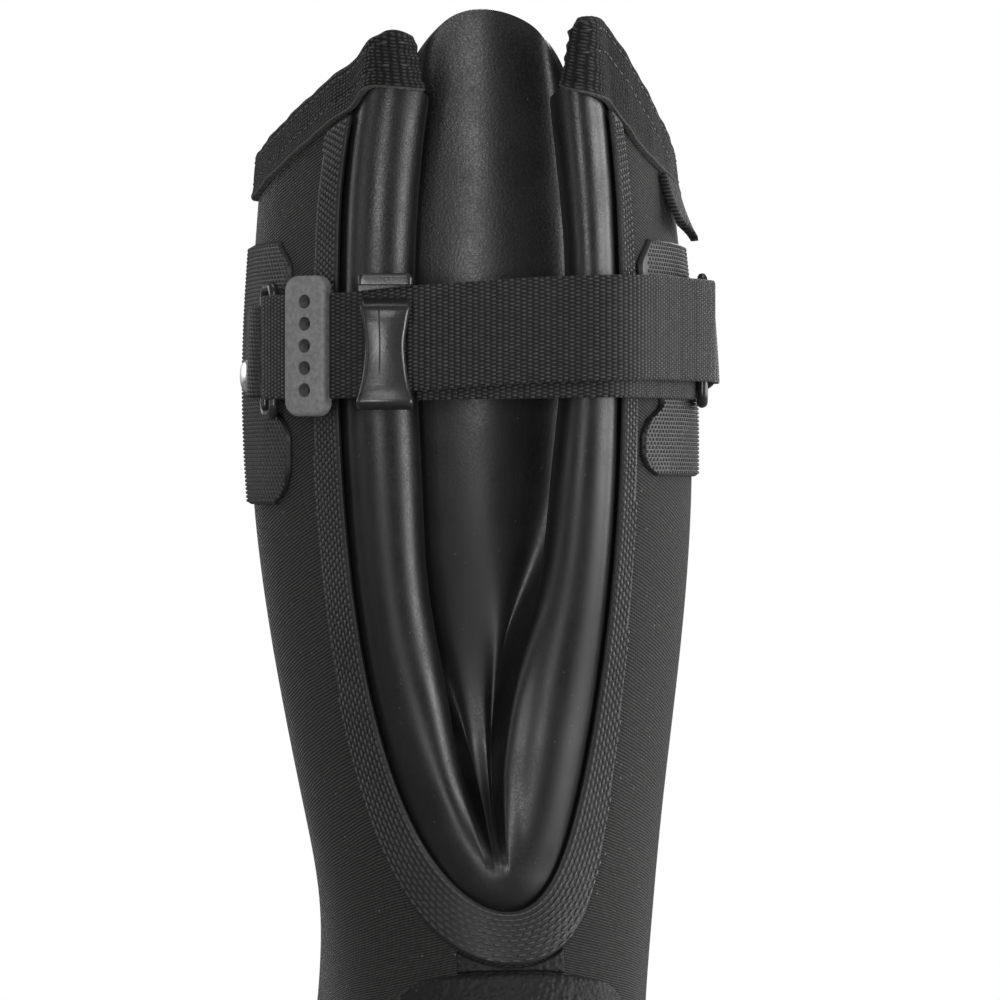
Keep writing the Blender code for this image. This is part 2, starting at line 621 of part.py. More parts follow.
def trim_band():
    """Arc and height of the band's points, station by station, for each point across.

    The inner edge follows the throat, and the band's width is laid off square to it.
    """
    floor_to_top = THROAT_FLOOR + THROAT_RISE * (1 - np.cos(TRIM_TURNS))
    sides = []
    for side, width in (("outer", -1.0), ("inner", 1.0)):
        z = floor_to_top
        arc = width * THROAT_HALF * np.sin(TRIM_TURNS)
        normal = np.stack([width * THROAT_RISE * np.sin(TRIM_TURNS), -THROAT_HALF * np.cos(TRIM_TURNS)], -1)
        normal = normal / np.linalg.norm(normal, axis=1, keepdims=True)
        extra = (TRIM_FLOOR_WIDTH - TRIM_WIDTHS[side]) * np.exp(-(z - THROAT_FLOOR) / TRIM_FADE)
        reach = (TRIM_WIDTHS[side] + extra)[:, None] * TRIM_ACROSS
        arcs = (arc + throat_centre(z))[:, None] + reach * normal[:, :1]
        heights = z[:, None] + reach * normal[:, 1:]
        low = heights[-1]
        for part in TRIM_STRAIGHT:
            angle, _ = wrap(arcs[-1], low)
            top = collar_height(angle) - binding_height(angle) - 2 * CLEARANCE
            row_z = low + part * (top - low)
            inset = throat_half(row_z[0]) - THROAT_HALF
            drift = throat_centre(row_z[0]) - throat_centre(floor_to_top[-1])
            arcs = np.vstack([arcs, arcs[len(TRIM_TURNS) - 1] + drift + width * inset])
            heights = np.vstack([heights, row_z])
        sides.append((arcs, heights))
    (outer_arcs, outer_z), (inner_arcs, inner_z) = sides
    return np.vstack([outer_arcs[:0:-1], inner_arcs]), np.vstack([outer_z[:0:-1], inner_z])


def build_trim():
    arcs, heights = trim_band()
    outer = back_point(arcs, heights, CLEARANCE + TRIM_THICK)
    inner = back_point(arcs, heights, CLEARANCE)
    return shell("gusset_trim", outer, inner, textured_rubber)


def build_heel_strip():
    """Fills the gap between the trim's lower edge and the counter's crown."""
    arcs = np.linspace(-STRIP_HALF, STRIP_HALF, 9)
    band_arcs, band_z = trim_band()
    low_edge = np.argsort(band_arcs[:, -1])
    top = np.interp(arcs, band_arcs[low_edge, -1], band_z[low_edge, -1]) - STRIP_GAP
    angle, _ = wrap(arcs, top)
    crown = last_point(angle, counter_top(angle / (COUNTER_ANGLE - CLEARANCE)))
    bottom = crown[:, 2] + STRIP_GAP
    heights = np.array([bottom, (bottom + top) / 2, top])
    outer = back_point(np.tile(arcs, (3, 1)), heights, CLEARANCE + STRIP_THICK)
    inner = back_point(np.tile(arcs, (3, 1)), heights, CLEARANCE)
    return shell("heel_strip", outer, inner, textured_rubber)


# Collar binding: a tape folded over the wall's edge, its ends over the tops of the rolls
CORNER_POINTS = (4, 3, 2)
CORNER_TOPS = {"inner": (358.6, 361.6, 362.6), "outer": (357.0, 358.4, 357.6)}
CORNER_WRAP = 0.6
CORNER_BOTTOM = 344.0
CORNER_SLOT = 4.5
CORNER_GAP = 0.9
BINDING_START = 1.4


def build_binding():
    z = CORNER_Z
    fold_row = gusset_section(np.array([GUSSET_TOP_ROWS[-1]]))[0]
    ends = throat_centre(z) + (throat_half(z) + BINDING_START) * np.array([1.0, -1.0])
    notch = throat_centre(z) + throat_half(z, NOTCH_LAP) * np.array([1.0, -1.0])
    end_angles, _ = wrap(ends, z)
    notch_angles, _ = wrap(notch, z)
    around = np.linspace(notch_angles[0], notch_angles[1] + 360, COLUMNS_AROUND + 1)
    angles = np.concatenate([end_angles[:1], around, end_angles[1:] + 360])
    wall_top = face_point(angles, collar_level(angles), -WALL / 2)
    wall_low = face_point(angles, collar_level(angles, binding_height(angles)), -WALL / 2)
    inner_end = fold_row[[k + 1 for k in CORNER_POINTS]]
    outer_end = fold_row[[-k - 2 for k in reversed(CORNER_POINTS)]]
    past_corner = fold_row[-CORNER_POINTS[0] - 3]
    outer_end[-1] = outer_end[-1] + CORNER_WRAP * (past_corner - outer_end[-1])
    high = np.concatenate([inner_end, wall_top, outer_end])
    low = np.concatenate([inner_end, wall_low, outer_end])
    _, outward = level_directions(high)
    corner_count = len(CORNER_POINTS)
    at_wall = np.concatenate([np.zeros(corner_count), np.ones(len(angles)), np.zeros(corner_count)])
    top = np.concatenate([CORNER_TOPS["inner"], collar_height(angles), CORNER_TOPS["outer"][::-1]])
    tall = np.concatenate([np.zeros(corner_count), binding_height(angles), np.zeros(corner_count)])
    bottom = np.where(at_wall > 0, top - tall, CORNER_BOTTOM)
    roof = np.where(at_wall > 0, top - BINDING_THICK, CORNER_BOTTOM + CORNER_SLOT)
    slot = np.where(at_wall > 0, WALL / 2 + CLEARANCE, SHEET / 2 + CORNER_GAP)
    face = slot + BINDING_THICK

    def corner(path, out, height):
        return np.column_stack([path[:, :2] + out[:, None] * outward, height])

    loop = [corner(low, face, bottom), corner(high, face, top), corner(high, -face, top),
            corner(low, -face, bottom), corner(low, -slot, bottom), corner(high, -slot, roof),
            corner(high, slot, roof), corner(low, slot, bottom)]
    return sweep("collar_binding", np.stack(loop, axis=1), knit_tape)


# Anchor patches, keepers and rivets on both sides of the shaft
PATCH_THICK = 1.2
PATCH_ARCS = {"outer": (-65.5, -118.0), "inner": (43.8, 112.0)}
PATCH_COLUMNS = ("height", "notch", "tail")
PATCH_ROWS = np.array([
    (245.0, 9.0, 8.0), (248.0, 2.5, 3.0), (253.0, 0.0, 0.0), (262.0, 0.0, 0.0), (266.0, 3.5, 0.0),
    (269.0, 11.5, 0.0), (283.0, 12.5, 0.0), (290.0, 10.5, 0.0), (293.5, 3.5, 0.0),
    (297.0, 1.2, 0.0), (304.0, 1.2, 0.0), (310.0, 9.0, 8.0)])
PATCH_LOBE = 262.0
PATCH_LOW = {"outer": 245.0, "inner": 252.0}
PATCH_ACROSS = np.linspace(0, 1, 7)
STRAP_Z = 283.0
TAB_HEIGHT = 22.0
TAB_THICK = 1.2
TAB_SEAT = 2.4
TAB_ROUTE = np.array([
    # arc past the bar, share of the climb over it
    (16.0, 0.0), (9.5, 0.0), (6.0, 0.12), (4.2, 0.55), (2.2, 1.05), (-2.2, 1.05), (-4.2, 0.6),
    (-4.4, 0.0)])
RIVET_RADIUS = 4.0
RIVET_SIDES = 10
RIVET_PAST_BAR = 13.0
RIVET_Z = 277.0


def build_patch(side):
    """Hourglass patch: the edge towards the throat steps back where the strap passes."""
    near, far = PATCH_ARCS[side]
    away = math.copysign(1.0, far)
    column = {name: PATCH_ROWS[:, k, None] for k, name in enumerate(PATCH_COLUMNS)}
    start = near + away * column["notch"]
    end = far - away * column["tail"]
    arcs = start + (end - start) * PATCH_ACROSS
    squeeze = (PATCH_LOBE - PATCH_LOW[side]) / (PATCH_LOBE - PATCH_ROWS[0, 0])
    lobe = PATCH_LOBE + (column["height"] - PATCH_LOBE) * squeeze
    heights = np.where(column["height"] < PATCH_LOBE, lobe, column["height"]) + 0 * arcs
    outer = back_point(arcs, heights, CLEARANCE + PATCH_THICK)
    inner = back_point(arcs, heights, CLEARANCE)
    return shell(f"patch_{side}", outer, inner, textured_rubber)


# Strap: a doubled webbing band over the rolls, its rings, buckle and tip
WEB_THICK = 1.5
WEB_HALF = 12.7
LAYER_STEP = 3.0
SPREAD_RUN = 25.0
BAR_RADIUS = 1.3
BAR_TURN = BAR_RADIUS + CLEARANCE + WEB_THICK / 2
BAR_ARCS = {"outer": -65.5, "inner": 78.0}
FAR_BAR_OFFSET = 3.6
INNER_LAYER_Z = 283.1
INNER_LAYER_TILT = 0.015
FRONT_LAYER_X = (-41.0, -24.0, 4.0, 34.0, 60.0)
FRONT_LAYER_Z = (283.2, 285.0, 286.9, 287.9, 288.2)
ROUTE_SAMPLES = 47
ROLL_EASE = 1.0
CREST_EASE = 0.7
PATCH_EASE = 0.8
FRAME_SIZE = (13.0, 32.4, 8.0)
FRAME_SLOT = (20.0, 27.0, 9.0)
FRAME_BACK = 1.2
FRAME_STAND = 0.4
FRAME_CORNER = 1.2
SLOT_CORNER = 0.5
LEVER_COLUMNS = ("height", "half_width", "foot", "face")
LEVER_ROWS = np.array([
    (-16.6, 6.4, 8.3, 9.8), (-15.6, 6.8, 8.3, 11.4), (-13.3, 6.5, 8.3, 11.7), (-10.2, 5.7, 4.7, 11.2),
    (-5.0, 5.0, 4.7, 10.7), (-0.5, 4.8, 4.7, 10.5), (3.5, 5.3, 4.7, 10.3), (6.5, 5.8, 4.7, 9.9),
    (8.8, 6.1, 4.7, 8.6), (10.2, 5.8, 4.7, 6.6)])
LEVER_ACROSS = np.linspace(-1, 1, 5)
LEVER_CROWN = 0.7
TIP_SIZE = (11.6, 34.0, 4.0)
TIP_CORNER = 3.2
TIP_BOW = 1.2
TIP_TURN = math.radians(22)
TIP_SHIFT = 1.0
BASE_GAP = 1.5
TIP_ARC = -44.6
FRAME_ON_ROLL = 0.45
HOLES = 5
HOLE_RADIUS = 1.6
HOLE_PITCH = 5.35
HOLE_SIDES = 8
RING_HALF = (4.5, 15.6)
RING_CORNER = 2.5
RING_SIDES = 6
CORNER_STEPS = 3


def plan(arc, offset):
    """Level position over the shaft at the strap's height."""
    return back_point(np.array(arc), np.array(STRAP_Z), offset)[:2]


def strap_route():
    """Middle line of the layer next to the boot, from the outer ring to the inner one."""
    row = gusset_section(np.array([STRAP_Z]))[0, :, :2]
    stand_off = SHEET / 2 + CLEARANCE + WEB_THICK / 2
    chord = row[1] - row[-2]
    chord = chord / np.linalg.norm(chord)
    out = np.array([chord[1], -chord[0]])
    rest = CLEARANCE + PATCH_THICK + PATCH_EASE + WEB_THICK / 2
    over_trim = CLEARANCE + TRIM_THICK + CLEARANCE + WEB_THICK / 2
    depths = FOLD[:, FOLD_COLUMNS.index("depth")]
    past_crest = stand_off + CREST_EASE + depths[CREST_ROW] - depths[CREST_ROW + 1]
    points = [plan(BAR_ARCS["outer"], rest), plan(-58.5, rest), plan(-52.0, over_trim + 0.2),
              plan(-46.0, over_trim + 0.8), row[-CREST_ROW - 1] + out * (stand_off + ROLL_EASE) - chord,
              row[-CREST_ROW - 2] + out * (stand_off + CREST_EASE),
              row[-CREST_ROW - 3] + out * past_crest, row[CREST_ROW + 2] + out * past_crest,
              row[CREST_ROW + 1] + out * (stand_off + CREST_EASE),
              row[CREST_ROW] + out * (stand_off + ROLL_EASE) + chord, plan(39.5, over_trim + 0.8),
              plan(48.0, over_trim), plan(64.0, rest), plan(BAR_ARCS["inner"], rest)]
    return smooth_curve(np.array(points), ROUTE_SAMPLES)


ROUTE = strap_route()
ROUTE_TANGENT, ROUTE_OUT = level_directions(ROUTE)
ROUTE_RUN = np.concatenate([[0.0], np.cumsum(np.linalg.norm(np.diff(ROUTE, axis=0), axis=1))])


def part_of(start, end):
    """Distances along the route from a start to an end, by way of its own samples."""
    low, high = min(start, end), max(start, end)
    keep = (ROUTE_RUN > low + 0.5) & (ROUTE_RUN < high - 0.5)
    distances = np.concatenate([[low], ROUTE_RUN[keep], [high]])
    return distances if start < end else distances[::-1]


def on_route(distances, out=0.0):
    """Level positions at distances along the route, moved out from it."""
    at = [np.interp(distances, ROUTE_RUN, values) for values in (*ROUTE.T, *ROUTE_OUT.T)]
    return np.stack(at[:2], -1) + np.asarray(out)[..., None] * np.stack(at[2:], -1)


def distance_at(point):
    """Distance along the route of the place closest to a level position."""
    distances = np.arange(0.0, ROUTE_RUN[-1], 0.1)
    return distances[np.argmin(np.linalg.norm(on_route(distances) - point, axis=1))]


FOLD_AT_STRAP = gusset_section(np.array([STRAP_Z]))[0, :, :2]
CREST, PAST_CREST = FOLD_AT_STRAP[-CREST_ROW - 2], FOLD_AT_STRAP[-CREST_ROW - 3]
FRAME_AT = distance_at((1 - FRAME_ON_ROLL) * CREST + FRAME_ON_ROLL * PAST_CREST)
TIP_AT = distance_at(plan(TIP_ARC, PATCH_THICK))
FRAME_CLEAR = FRAME_SIZE[0] / 2 + 2 * CLEARANCE
BARS = {"outer": ROUTE[0] + ROUTE_OUT[0] * BAR_TURN, "inner": ROUTE[-1] + ROUTE_OUT[-1] * BAR_TURN}


def web(name, path, middle):
    """Webbing band, upright, along a level path with a height for each point."""
    _, outward = level_directions(path)
    half = WEB_THICK / 2

    def edge(out, up):
        return np.column_stack([path + out * outward, middle + up])

    loop = [edge(half, -WEB_HALF), edge(half, WEB_HALF), edge(-half, WEB_HALF), edge(-half, -WEB_HALF)]
    return sweep(name, np.stack(loop, axis=1), webbing)


def rounded_rectangle(half_x, half_y, radius):
    """Outline with an arc at each corner, counterclockwise."""
    turn = np.radians(np.linspace(0, 90, CORNER_STEPS))
    outline = []
    for quarter, (sx, sy) in enumerate(((1, 1), (-1, 1), (-1, -1), (1, -1))):
        angle = turn + quarter * math.pi / 2
        corner = np.array([sx * (half_x - radius), sy * (half_y - radius)])
        outline.append(corner + radius * np.column_stack([np.cos(angle), np.sin(angle)]))
    return np.concatenate(outline)


def slab(name, outline, inner, outer, surface, origin, tangent, outward):
    """Plate with a flat outline, from one distance out to another."""
    count = len(outline)
    levels = [np.column_stack([outline, np.full(count, out)]) for out in (inner, outer)]
    return sweep(name, placed(np.array(levels), origin, tangent, outward), surface)


def web_height(x, front):
    """Height of the webbing's middle, which climbs to the inner side, front layer higher."""
    inner_layer = INNER_LAYER_Z + INNER_LAYER_TILT * x
    front_layer = np.interp(x, FRONT_LAYER_X, FRONT_LAYER_Z)
    return inner_layer + (front_layer - inner_layer) * front


def bar_turn(bar, tangent, outward):
    """Half turn of the webbing round a ring's bar, from the inner layer to the outer."""
    angle = np.linspace(0, math.pi, 9)[:, None]
    return bar + BAR_TURN * (np.sin(angle) * tangent - np.cos(angle) * outward)


def build_ring(side, bar, away, outward, height):
    """Plastic loop: its near bar holds the webbing, its far bar the keeper."""
    outline = rounded_rectangle(*RING_HALF, RING_CORNER)
    centre = np.array([*(bar + away * RING_HALF[0]), height])
    ahead = np.roll(outline, -1, axis=0) - np.roll(outline, 1, axis=0)
    ahead = ahead / np.linalg.norm(ahead, axis=1, keepdims=True)
    side_way = np.stack([ahead[:, 1], -ahead[:, 0]], -1)
    angle = np.arange(RING_SIDES) * 2 * math.pi / RING_SIDES
    flat = outline[:, None] + BAR_RADIUS * np.cos(angle)[None, :, None] * side_way[:, None]
    out = np.broadcast_to(BAR_RADIUS * np.sin(angle)[:, None], flat.shape[:2] + (1,))
    axes = np.array([*away, 0.0]), np.array([*outward, 0.0])
    tube = placed(np.concatenate([flat, out], -1), centre, *axes)
    return sweep(f"ring_{side}", tube, plastic, closed=True)


def over_shaft(point):
    """Arc and offset of a level position beside the strap's height."""
    arcs = np.arange(-130.0, 130.0, 0.25)
    foot = back_point(arcs, np.full_like(arcs, STRAP_Z))[:, :2]
    gap = np.linalg.norm(foot - point, axis=1)
    return arcs[np.argmin(gap)], gap.min()


def build_tab(side, far_bar, height):
    """Keeper: a strip from the rivet, over the ring's far bar and back under it."""
    arc, offset = over_shaft(far_bar)
    away = math.copysign(1.0, arc)
    climb = offset + BAR_RADIUS + 3 * CLEARANCE + TAB_THICK / 2 - TAB_SEAT
    path = np.column_stack([TAB_ROUTE[:, 0], TAB_SEAT + climb * TAB_ROUTE[:, 1]])
    ahead = np.gradient(path, axis=0)
    ahead = ahead / np.linalg.norm(ahead, axis=1, keepdims=True)
    normal = np.stack([-ahead[:, 1], ahead[:, 0]], -1)
    loop = []
    for face, up in ((0.5, -0.5), (0.5, 0.5), (-0.5, 0.5), (-0.5, -0.5)):
        route = path + TAB_THICK * face * normal
        level = np.full(len(route), height + TAB_HEIGHT * up)
        loop.append(back_point(arc + away * route[:, 0], level, route[:, 1]))
    return sweep(f"tab_{side}", np.stack(loop, axis=1), textured_rubber)


def build_rivet(side):
    """Domed rivet head on the keeper's end."""
    away = math.copysign(1.0, BAR_ARCS[side])
    arc = BAR_ARCS[side] + away * (2 * RING_HALF[0] + RIVET_PAST_BAR)
    seat = TAB_SEAT + TAB_THICK / 2 + CLEARANCE
    base, ahead, beyond = (back_point(np.array(arc + step), np.array(RIVET_Z), seat + rise)
                           for step, rise in ((0, 0), (1, 0), (0, 1)))
    tangent = (ahead - base) / np.linalg.norm(ahead - base)
    outward = beyond - base
    angle = np.arange(RIVET_SIDES) * 2 * math.pi / RIVET_SIDES
    circle = np.column_stack([np.cos(angle), np.sin(angle)])
    rings = [np.column_stack([RIVET_RADIUS * r * circle, np.full(RIVET_SIDES, h)])
             for r, h in ((1.0, 0.0), (1.0, 0.5), (0.75, 1.1), (0.3, 1.4))]
    return sweep(f"rivet_{side}", placed(np.array(rings), base, tangent, outward), rivet_metal)


def layer_spread(from_bar):
    """Distance between the two layers, which widens over the last stretch before a ring's bar."""
    return LAYER_STEP + (2 * BAR_TURN - LAYER_STEP) * smooth(1 - from_bar / SPREAD_RUN)


def build_strap():
    """From the buckle, round the inner ring, and back through the buckle to the tip."""
    end = ROUTE_RUN[-1]
    inner_layer = part_of(FRAME_AT + FRAME_CLEAR, end)
    front_layer = part_of(end, TIP_AT + TIP_SIZE[0] / 2 + CLEARANCE)
    turn = bar_turn(BARS["inner"], ROUTE_TANGENT[-1], ROUTE_OUT[-1])
    back = on_route(front_layer, layer_spread(end - front_layer))
    path = np.concatenate([on_route(inner_layer), turn[1:-1], back])
    front = np.concatenate([np.zeros(len(inner_layer)), np.linspace(0, 1, len(turn))[1:-1],
                            np.ones(len(front_layer))])
    return web("strap", path, web_height(path[:, 0], front))


def build_strap_base():
    """Short band that ties the buckle to the outer ring, its end folded back beside the tip."""
    base_layer = part_of(FRAME_AT - FRAME_CLEAR, 0.0)
    base_end = part_of(0.0, TIP_AT - TIP_SIZE[0] / 2 - TIP_BOW - BASE_GAP)
    turn = bar_turn(BARS["outer"], -ROUTE_TANGENT[0], ROUTE_OUT[0])
    path = np.concatenate([on_route(base_layer), turn[1:-1], on_route(base_end, layer_spread(base_end))])
    return web("strap_base", path, np.full(len(path), web_height(on_route(FRAME_AT)[0], 0.5)))


def build_anchor(side):
    """Ring, keeper and rivet at one end of the strap, the ring lying down along the shaft."""
    bar = BARS[side]
    past = math.copysign(2 * RING_HALF[0], BAR_ARCS[side])
    away = plan(BAR_ARCS[side] + past, FAR_BAR_OFFSET) - bar
    away = away / np.linalg.norm(away)
    outward = np.array([away[1], -away[0]]) * math.copysign(1.0, past)
    height = web_height(bar[0], 0.5)
    ring = build_ring(side, bar, away, outward, height)
    return [ring, build_tab(side, bar + 2 * RING_HALF[0] * away, height), build_rivet(side)]


def route_axes(distance, out):
    """Origin and the along and outward axes of a piece threaded on the front layer."""
    place = on_route(distance)
    ahead = on_route(distance + 1.0) - on_route(distance - 1.0)
    ahead = ahead / np.linalg.norm(ahead)
    along = np.array([*ahead, 0.0])
    outward = np.array([ahead[1], -ahead[0], 0.0])
    return np.array([*place, web_height(place[0], 1.0)]) + out * outward, along, outward


def build_buckle():
    """Channel frame over the roll and the cam lever in it, with the cutter of the channel."""
    axes = route_axes(FRAME_AT, FRAME_STAND - WEB_THICK / 2)
    length, tall, thick = FRAME_SIZE
    slot_length, slot_tall, slot_thick = FRAME_SLOT
    outline = rounded_rectangle(length / 2, tall / 2, FRAME_CORNER)
    frame = slab("buckle_frame", outline, 0.0, thick, plastic, *axes)
    outline = rounded_rectangle(slot_length / 2, slot_tall / 2, SLOT_CORNER)
    slot = slab("slot_cutter", outline, FRAME_BACK, FRAME_BACK + slot_thick, plastic, *axes)
    cut(frame, slot)
    column = {name: LEVER_ROWS[:, k, None] for k, name in enumerate(LEVER_COLUMNS)}
    across = column["half_width"] * LEVER_ACROSS
    up = column["height"] + 0 * across
    foot = column["foot"] + 0 * across
    face = column["face"] - LEVER_CROWN * LEVER_ACROSS**2
    outer = placed(np.stack([across, up, face], -1), *axes)
    inner = placed(np.stack([across, up, foot], -1), *axes)
    return [frame, shell("buckle_lever", outer, inner, plastic)], [slot]


def build_tip():
    """Plate moulded on the strap's end, with a row of holes, its free bowed side standing off."""
    origin, along, outward = route_axes(TIP_AT, LAYER_STEP + CLEARANCE)
    length, tall, thick = TIP_SIZE
    turned = math.cos(TIP_TURN) * along - math.sin(TIP_TURN) * outward
    origin = origin + length / 2 * (along - turned) + TIP_SHIFT * along
    axes = origin, turned, math.cos(TIP_TURN) * outward + math.sin(TIP_TURN) * along
    outline = rounded_rectangle(length / 2, tall / 2, TIP_CORNER)
    bowed = outline[:, 0] < 0
    outline[bowed, 0] -= TIP_BOW * (1 - (2 * outline[bowed, 1] / tall)**2)
    tip = slab("strap_tip", outline, -thick / 2, thick / 2, plastic, *axes)
    angle = np.arange(HOLE_SIDES) * 2 * math.pi / HOLE_SIDES
    circle = HOLE_RADIUS * np.column_stack([np.cos(angle), np.sin(angle)])
    drills = []
    for k in range(HOLES):
        middle = [0.0, (k - (HOLES - 1) / 2) * HOLE_PITCH]
        drill = slab(f"hole_cutter_{k + 1}", circle + middle, -thick, thick, plastic, *axes)
        cut(tip, drill)
        drills.append(drill)
    return tip, drills


# Pull tab: a short folded tape under the binding on the inner side
PULL_ARCS = np.linspace(67.0, 85.0, 4)
PULL_DROP = 13.0
PULL_FLARE = 3.4
PULL_THICK = 2.0


def build_pull_tab():
    down = np.linspace(1, 0, 5)[:, None]
    angle, _ = wrap(PULL_ARCS, np.full_like(PULL_ARCS, COLLAR_SIDE - BINDING_HEIGHT))
    top = collar_height(angle) - binding_height(angle) - 2 * CLEARANCE
    heights = top - PULL_DROP * down
    arcs = PULL_ARCS + 0 * heights
    stand = CLEARANCE + PULL_FLARE * down**1.5 + 0 * PULL_ARCS
    outer = back_point(arcs, heights, stand + PULL_THICK)
    inner = back_point(arcs, heights, stand)
    return shell("pull_tab", outer, inner, webbing)


def seat_on_origin(pieces, helpers):
    """Parent everything to an empty that centres the boot over the origin."""
    bpy.context.view_layer.update()
    graph = bpy.context.evaluated_depsgraph_get()
    corners = np.array([corner for piece in pieces for corner in piece.evaluated_get(graph).bound_box])
    middle = (corners.min(axis=0) + corners.max(axis=0)) / 2
    root = bpy.data.objects.new("boot", None)
    bpy.context.scene.collection.objects.link(root)
    root.location = (-middle[0], -middle[1], -corners[:, 2].min())
    for piece in pieces + helpers:
        piece.parent = root


outsole, tread = build_outsole()
buckle, slots = build_buckle()
tip, drills = build_tip()
boot = [build_upper(), build_foot_shell(), build_heel_counter(), outsole, build_insole(), build_gusset(),
        build_trim(), build_heel_strip(), build_binding(), build_patch("outer"), build_patch("inner"),
        build_pull_tab(), build_strap(), build_strap_base(), tip]
seat_on_origin(boot + buckle + build_anchor("outer") + build_anchor("inner"), [tread] + slots + drills)
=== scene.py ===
"""Looks of a tall rubber work boot for the left foot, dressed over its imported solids.

Sizes are millimetres in the last's own frame, +Y to the toe, -X to the outer side and +Z up,
until a mesh is made from them.
"""
import math

import bmesh
import bpy
import numpy as np
from mathutils import Matrix, Vector


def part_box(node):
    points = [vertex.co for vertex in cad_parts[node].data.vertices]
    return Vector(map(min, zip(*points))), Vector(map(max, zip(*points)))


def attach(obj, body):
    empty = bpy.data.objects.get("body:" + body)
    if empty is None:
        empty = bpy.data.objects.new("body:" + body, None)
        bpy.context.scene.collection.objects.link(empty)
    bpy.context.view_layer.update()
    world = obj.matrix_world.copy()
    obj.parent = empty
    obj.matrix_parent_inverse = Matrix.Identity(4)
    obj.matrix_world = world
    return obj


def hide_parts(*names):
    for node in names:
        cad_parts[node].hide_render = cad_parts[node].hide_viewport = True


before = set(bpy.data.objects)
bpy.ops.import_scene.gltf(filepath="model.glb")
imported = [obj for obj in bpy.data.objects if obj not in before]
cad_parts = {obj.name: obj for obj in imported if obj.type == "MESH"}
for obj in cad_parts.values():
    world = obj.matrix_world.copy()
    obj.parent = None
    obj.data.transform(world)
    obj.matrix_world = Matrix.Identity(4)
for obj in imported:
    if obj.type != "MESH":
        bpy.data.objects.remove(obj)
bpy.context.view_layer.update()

# Shaft: a foam wall faced with fine black knit, cemented into one tube from the sole's edge to
# the collar and cut open in a long notch at the back.  Its form is that of the last: a table of
# tilted sections, each from a point on the back line to one on the front line.
SECTION_COLUMNS = ("back_y", "back_z", "front_y", "front_z", "half_30", "half_60", "half_90",
                   "half_120", "half_150", "lean", "swing", "drop")
SECTIONS = np.array([
    (10.0, 28.0, 292.0, 28.0, 24.0, 32.0, 33.0, 48.0, 35.0, 0.0, 10.0, 9.0),
    (6.0, 42.0, 297.0, 42.0, 27.0, 36.0, 37.0, 51.5, 39.0, 0.0, 10.0, 6.0),
    (4.5, 58.0, 290.0, 64.0, 28.0, 37.5, 38.5, 50.0, 33.0, 0.0, 9.0, 2.0),
    (6.0, 76.0, 262.0, 84.0, 27.5, 38.0, 39.0, 44.5, 28.0, 0.0, 6.0, 0.0),
    (11.0, 94.0, 224.0, 102.0, 26.0, 38.0, 40.0, 40.0, 25.0, 0.0, 3.0, 0.0),
    (18.0, 112.0, 188.0, 126.0, 23.5, 37.0, 40.8, 38.0, 23.0, 0.0, 1.0, 0.0),
    (24.0, 131.0, 164.0, 154.0, 21.8, 36.8, 42.3, 37.5, 22.0, 0.0, 0.0, 0.0),
    (26.0, 152.0, 150.0, 182.0, 21.8, 37.8, 45.6, 39.0, 22.5, -1.2, 0.0, 0.0),
    (22.0, 186.0, 146.0, 213.0, 23.8, 41.4, 50.6, 43.0, 25.0, -2.8, 0.0, 0.0),
    (12.0, 230.0, 148.0, 246.0, 26.0, 44.8, 55.0, 46.8, 27.0, -4.2, 0.0, 0.0),
    (2.0, 285.0, 152.0, 290.0, 26.5, 45.2, 55.4, 47.0, 27.4, -5.6, 0.0, 0.0),
    (0.0, 335.0, 153.0, 335.0, 24.6, 42.0, 51.4, 43.6, 25.4, -6.6, 0.0, 0.0),
    (0.0, 385.0, 153.0, 385.0, 23.6, 40.4, 49.2, 41.8, 24.4, -7.2, 0.0, 0.0),
])
LEVELS = SECTIONS[:, SECTION_COLUMNS.index("back_z")]
STATIONS = 12
STATION_STEP = 360.0 / STATIONS
STATION_ALONG = (1 - np.cos(np.radians(np.arange(STATIONS) * STATION_STEP))) / 2
SWING = np.array((0.0, -0.05, -0.15, -0.35, 0.1, 0.75, 1.0, 0.75, 0.1, -0.35, -0.15, -0.05))
DROP = np.array((0.0, 0.0, 0.1, 0.55, 1.0, 0.5, 0.0, 0.5, 1.0, 0.55, 0.1, 0.0))
WALL = 4.0
FEATHER = 28.0
CLEARANCE = 0.3
THROAT_FLOOR = 145.5
THROAT_RISE = 150.0
THROAT_HALF = 40.0
THROAT_DRIFT = -4.2
THROAT_NIP = 5.0
THROAT_NIP_START = 312.0
THROAT_NIP_SPAN = 33.0
THROAT_TOP = 362.0
COLLAR_SIDE = 334.2
COLLAR_FRONT_RISE = 6.0
COLLAR_RISES = {"inner": 40.0, "outer": 27.8}
COLLAR_POWERS = {"inner": 1.75, "outer": 1.35}
CORNER_Z = 348.0
NOTCH_LAP = 3.2
NOTCH_PARTS = np.linspace(0.08, 1.0, 14)
SHAFT_COLUMNS = 192
FOOT_ROWS_TOP = 141.0
COLLAR_TUCK = 1.6
SHARP_EDGE = 40.0


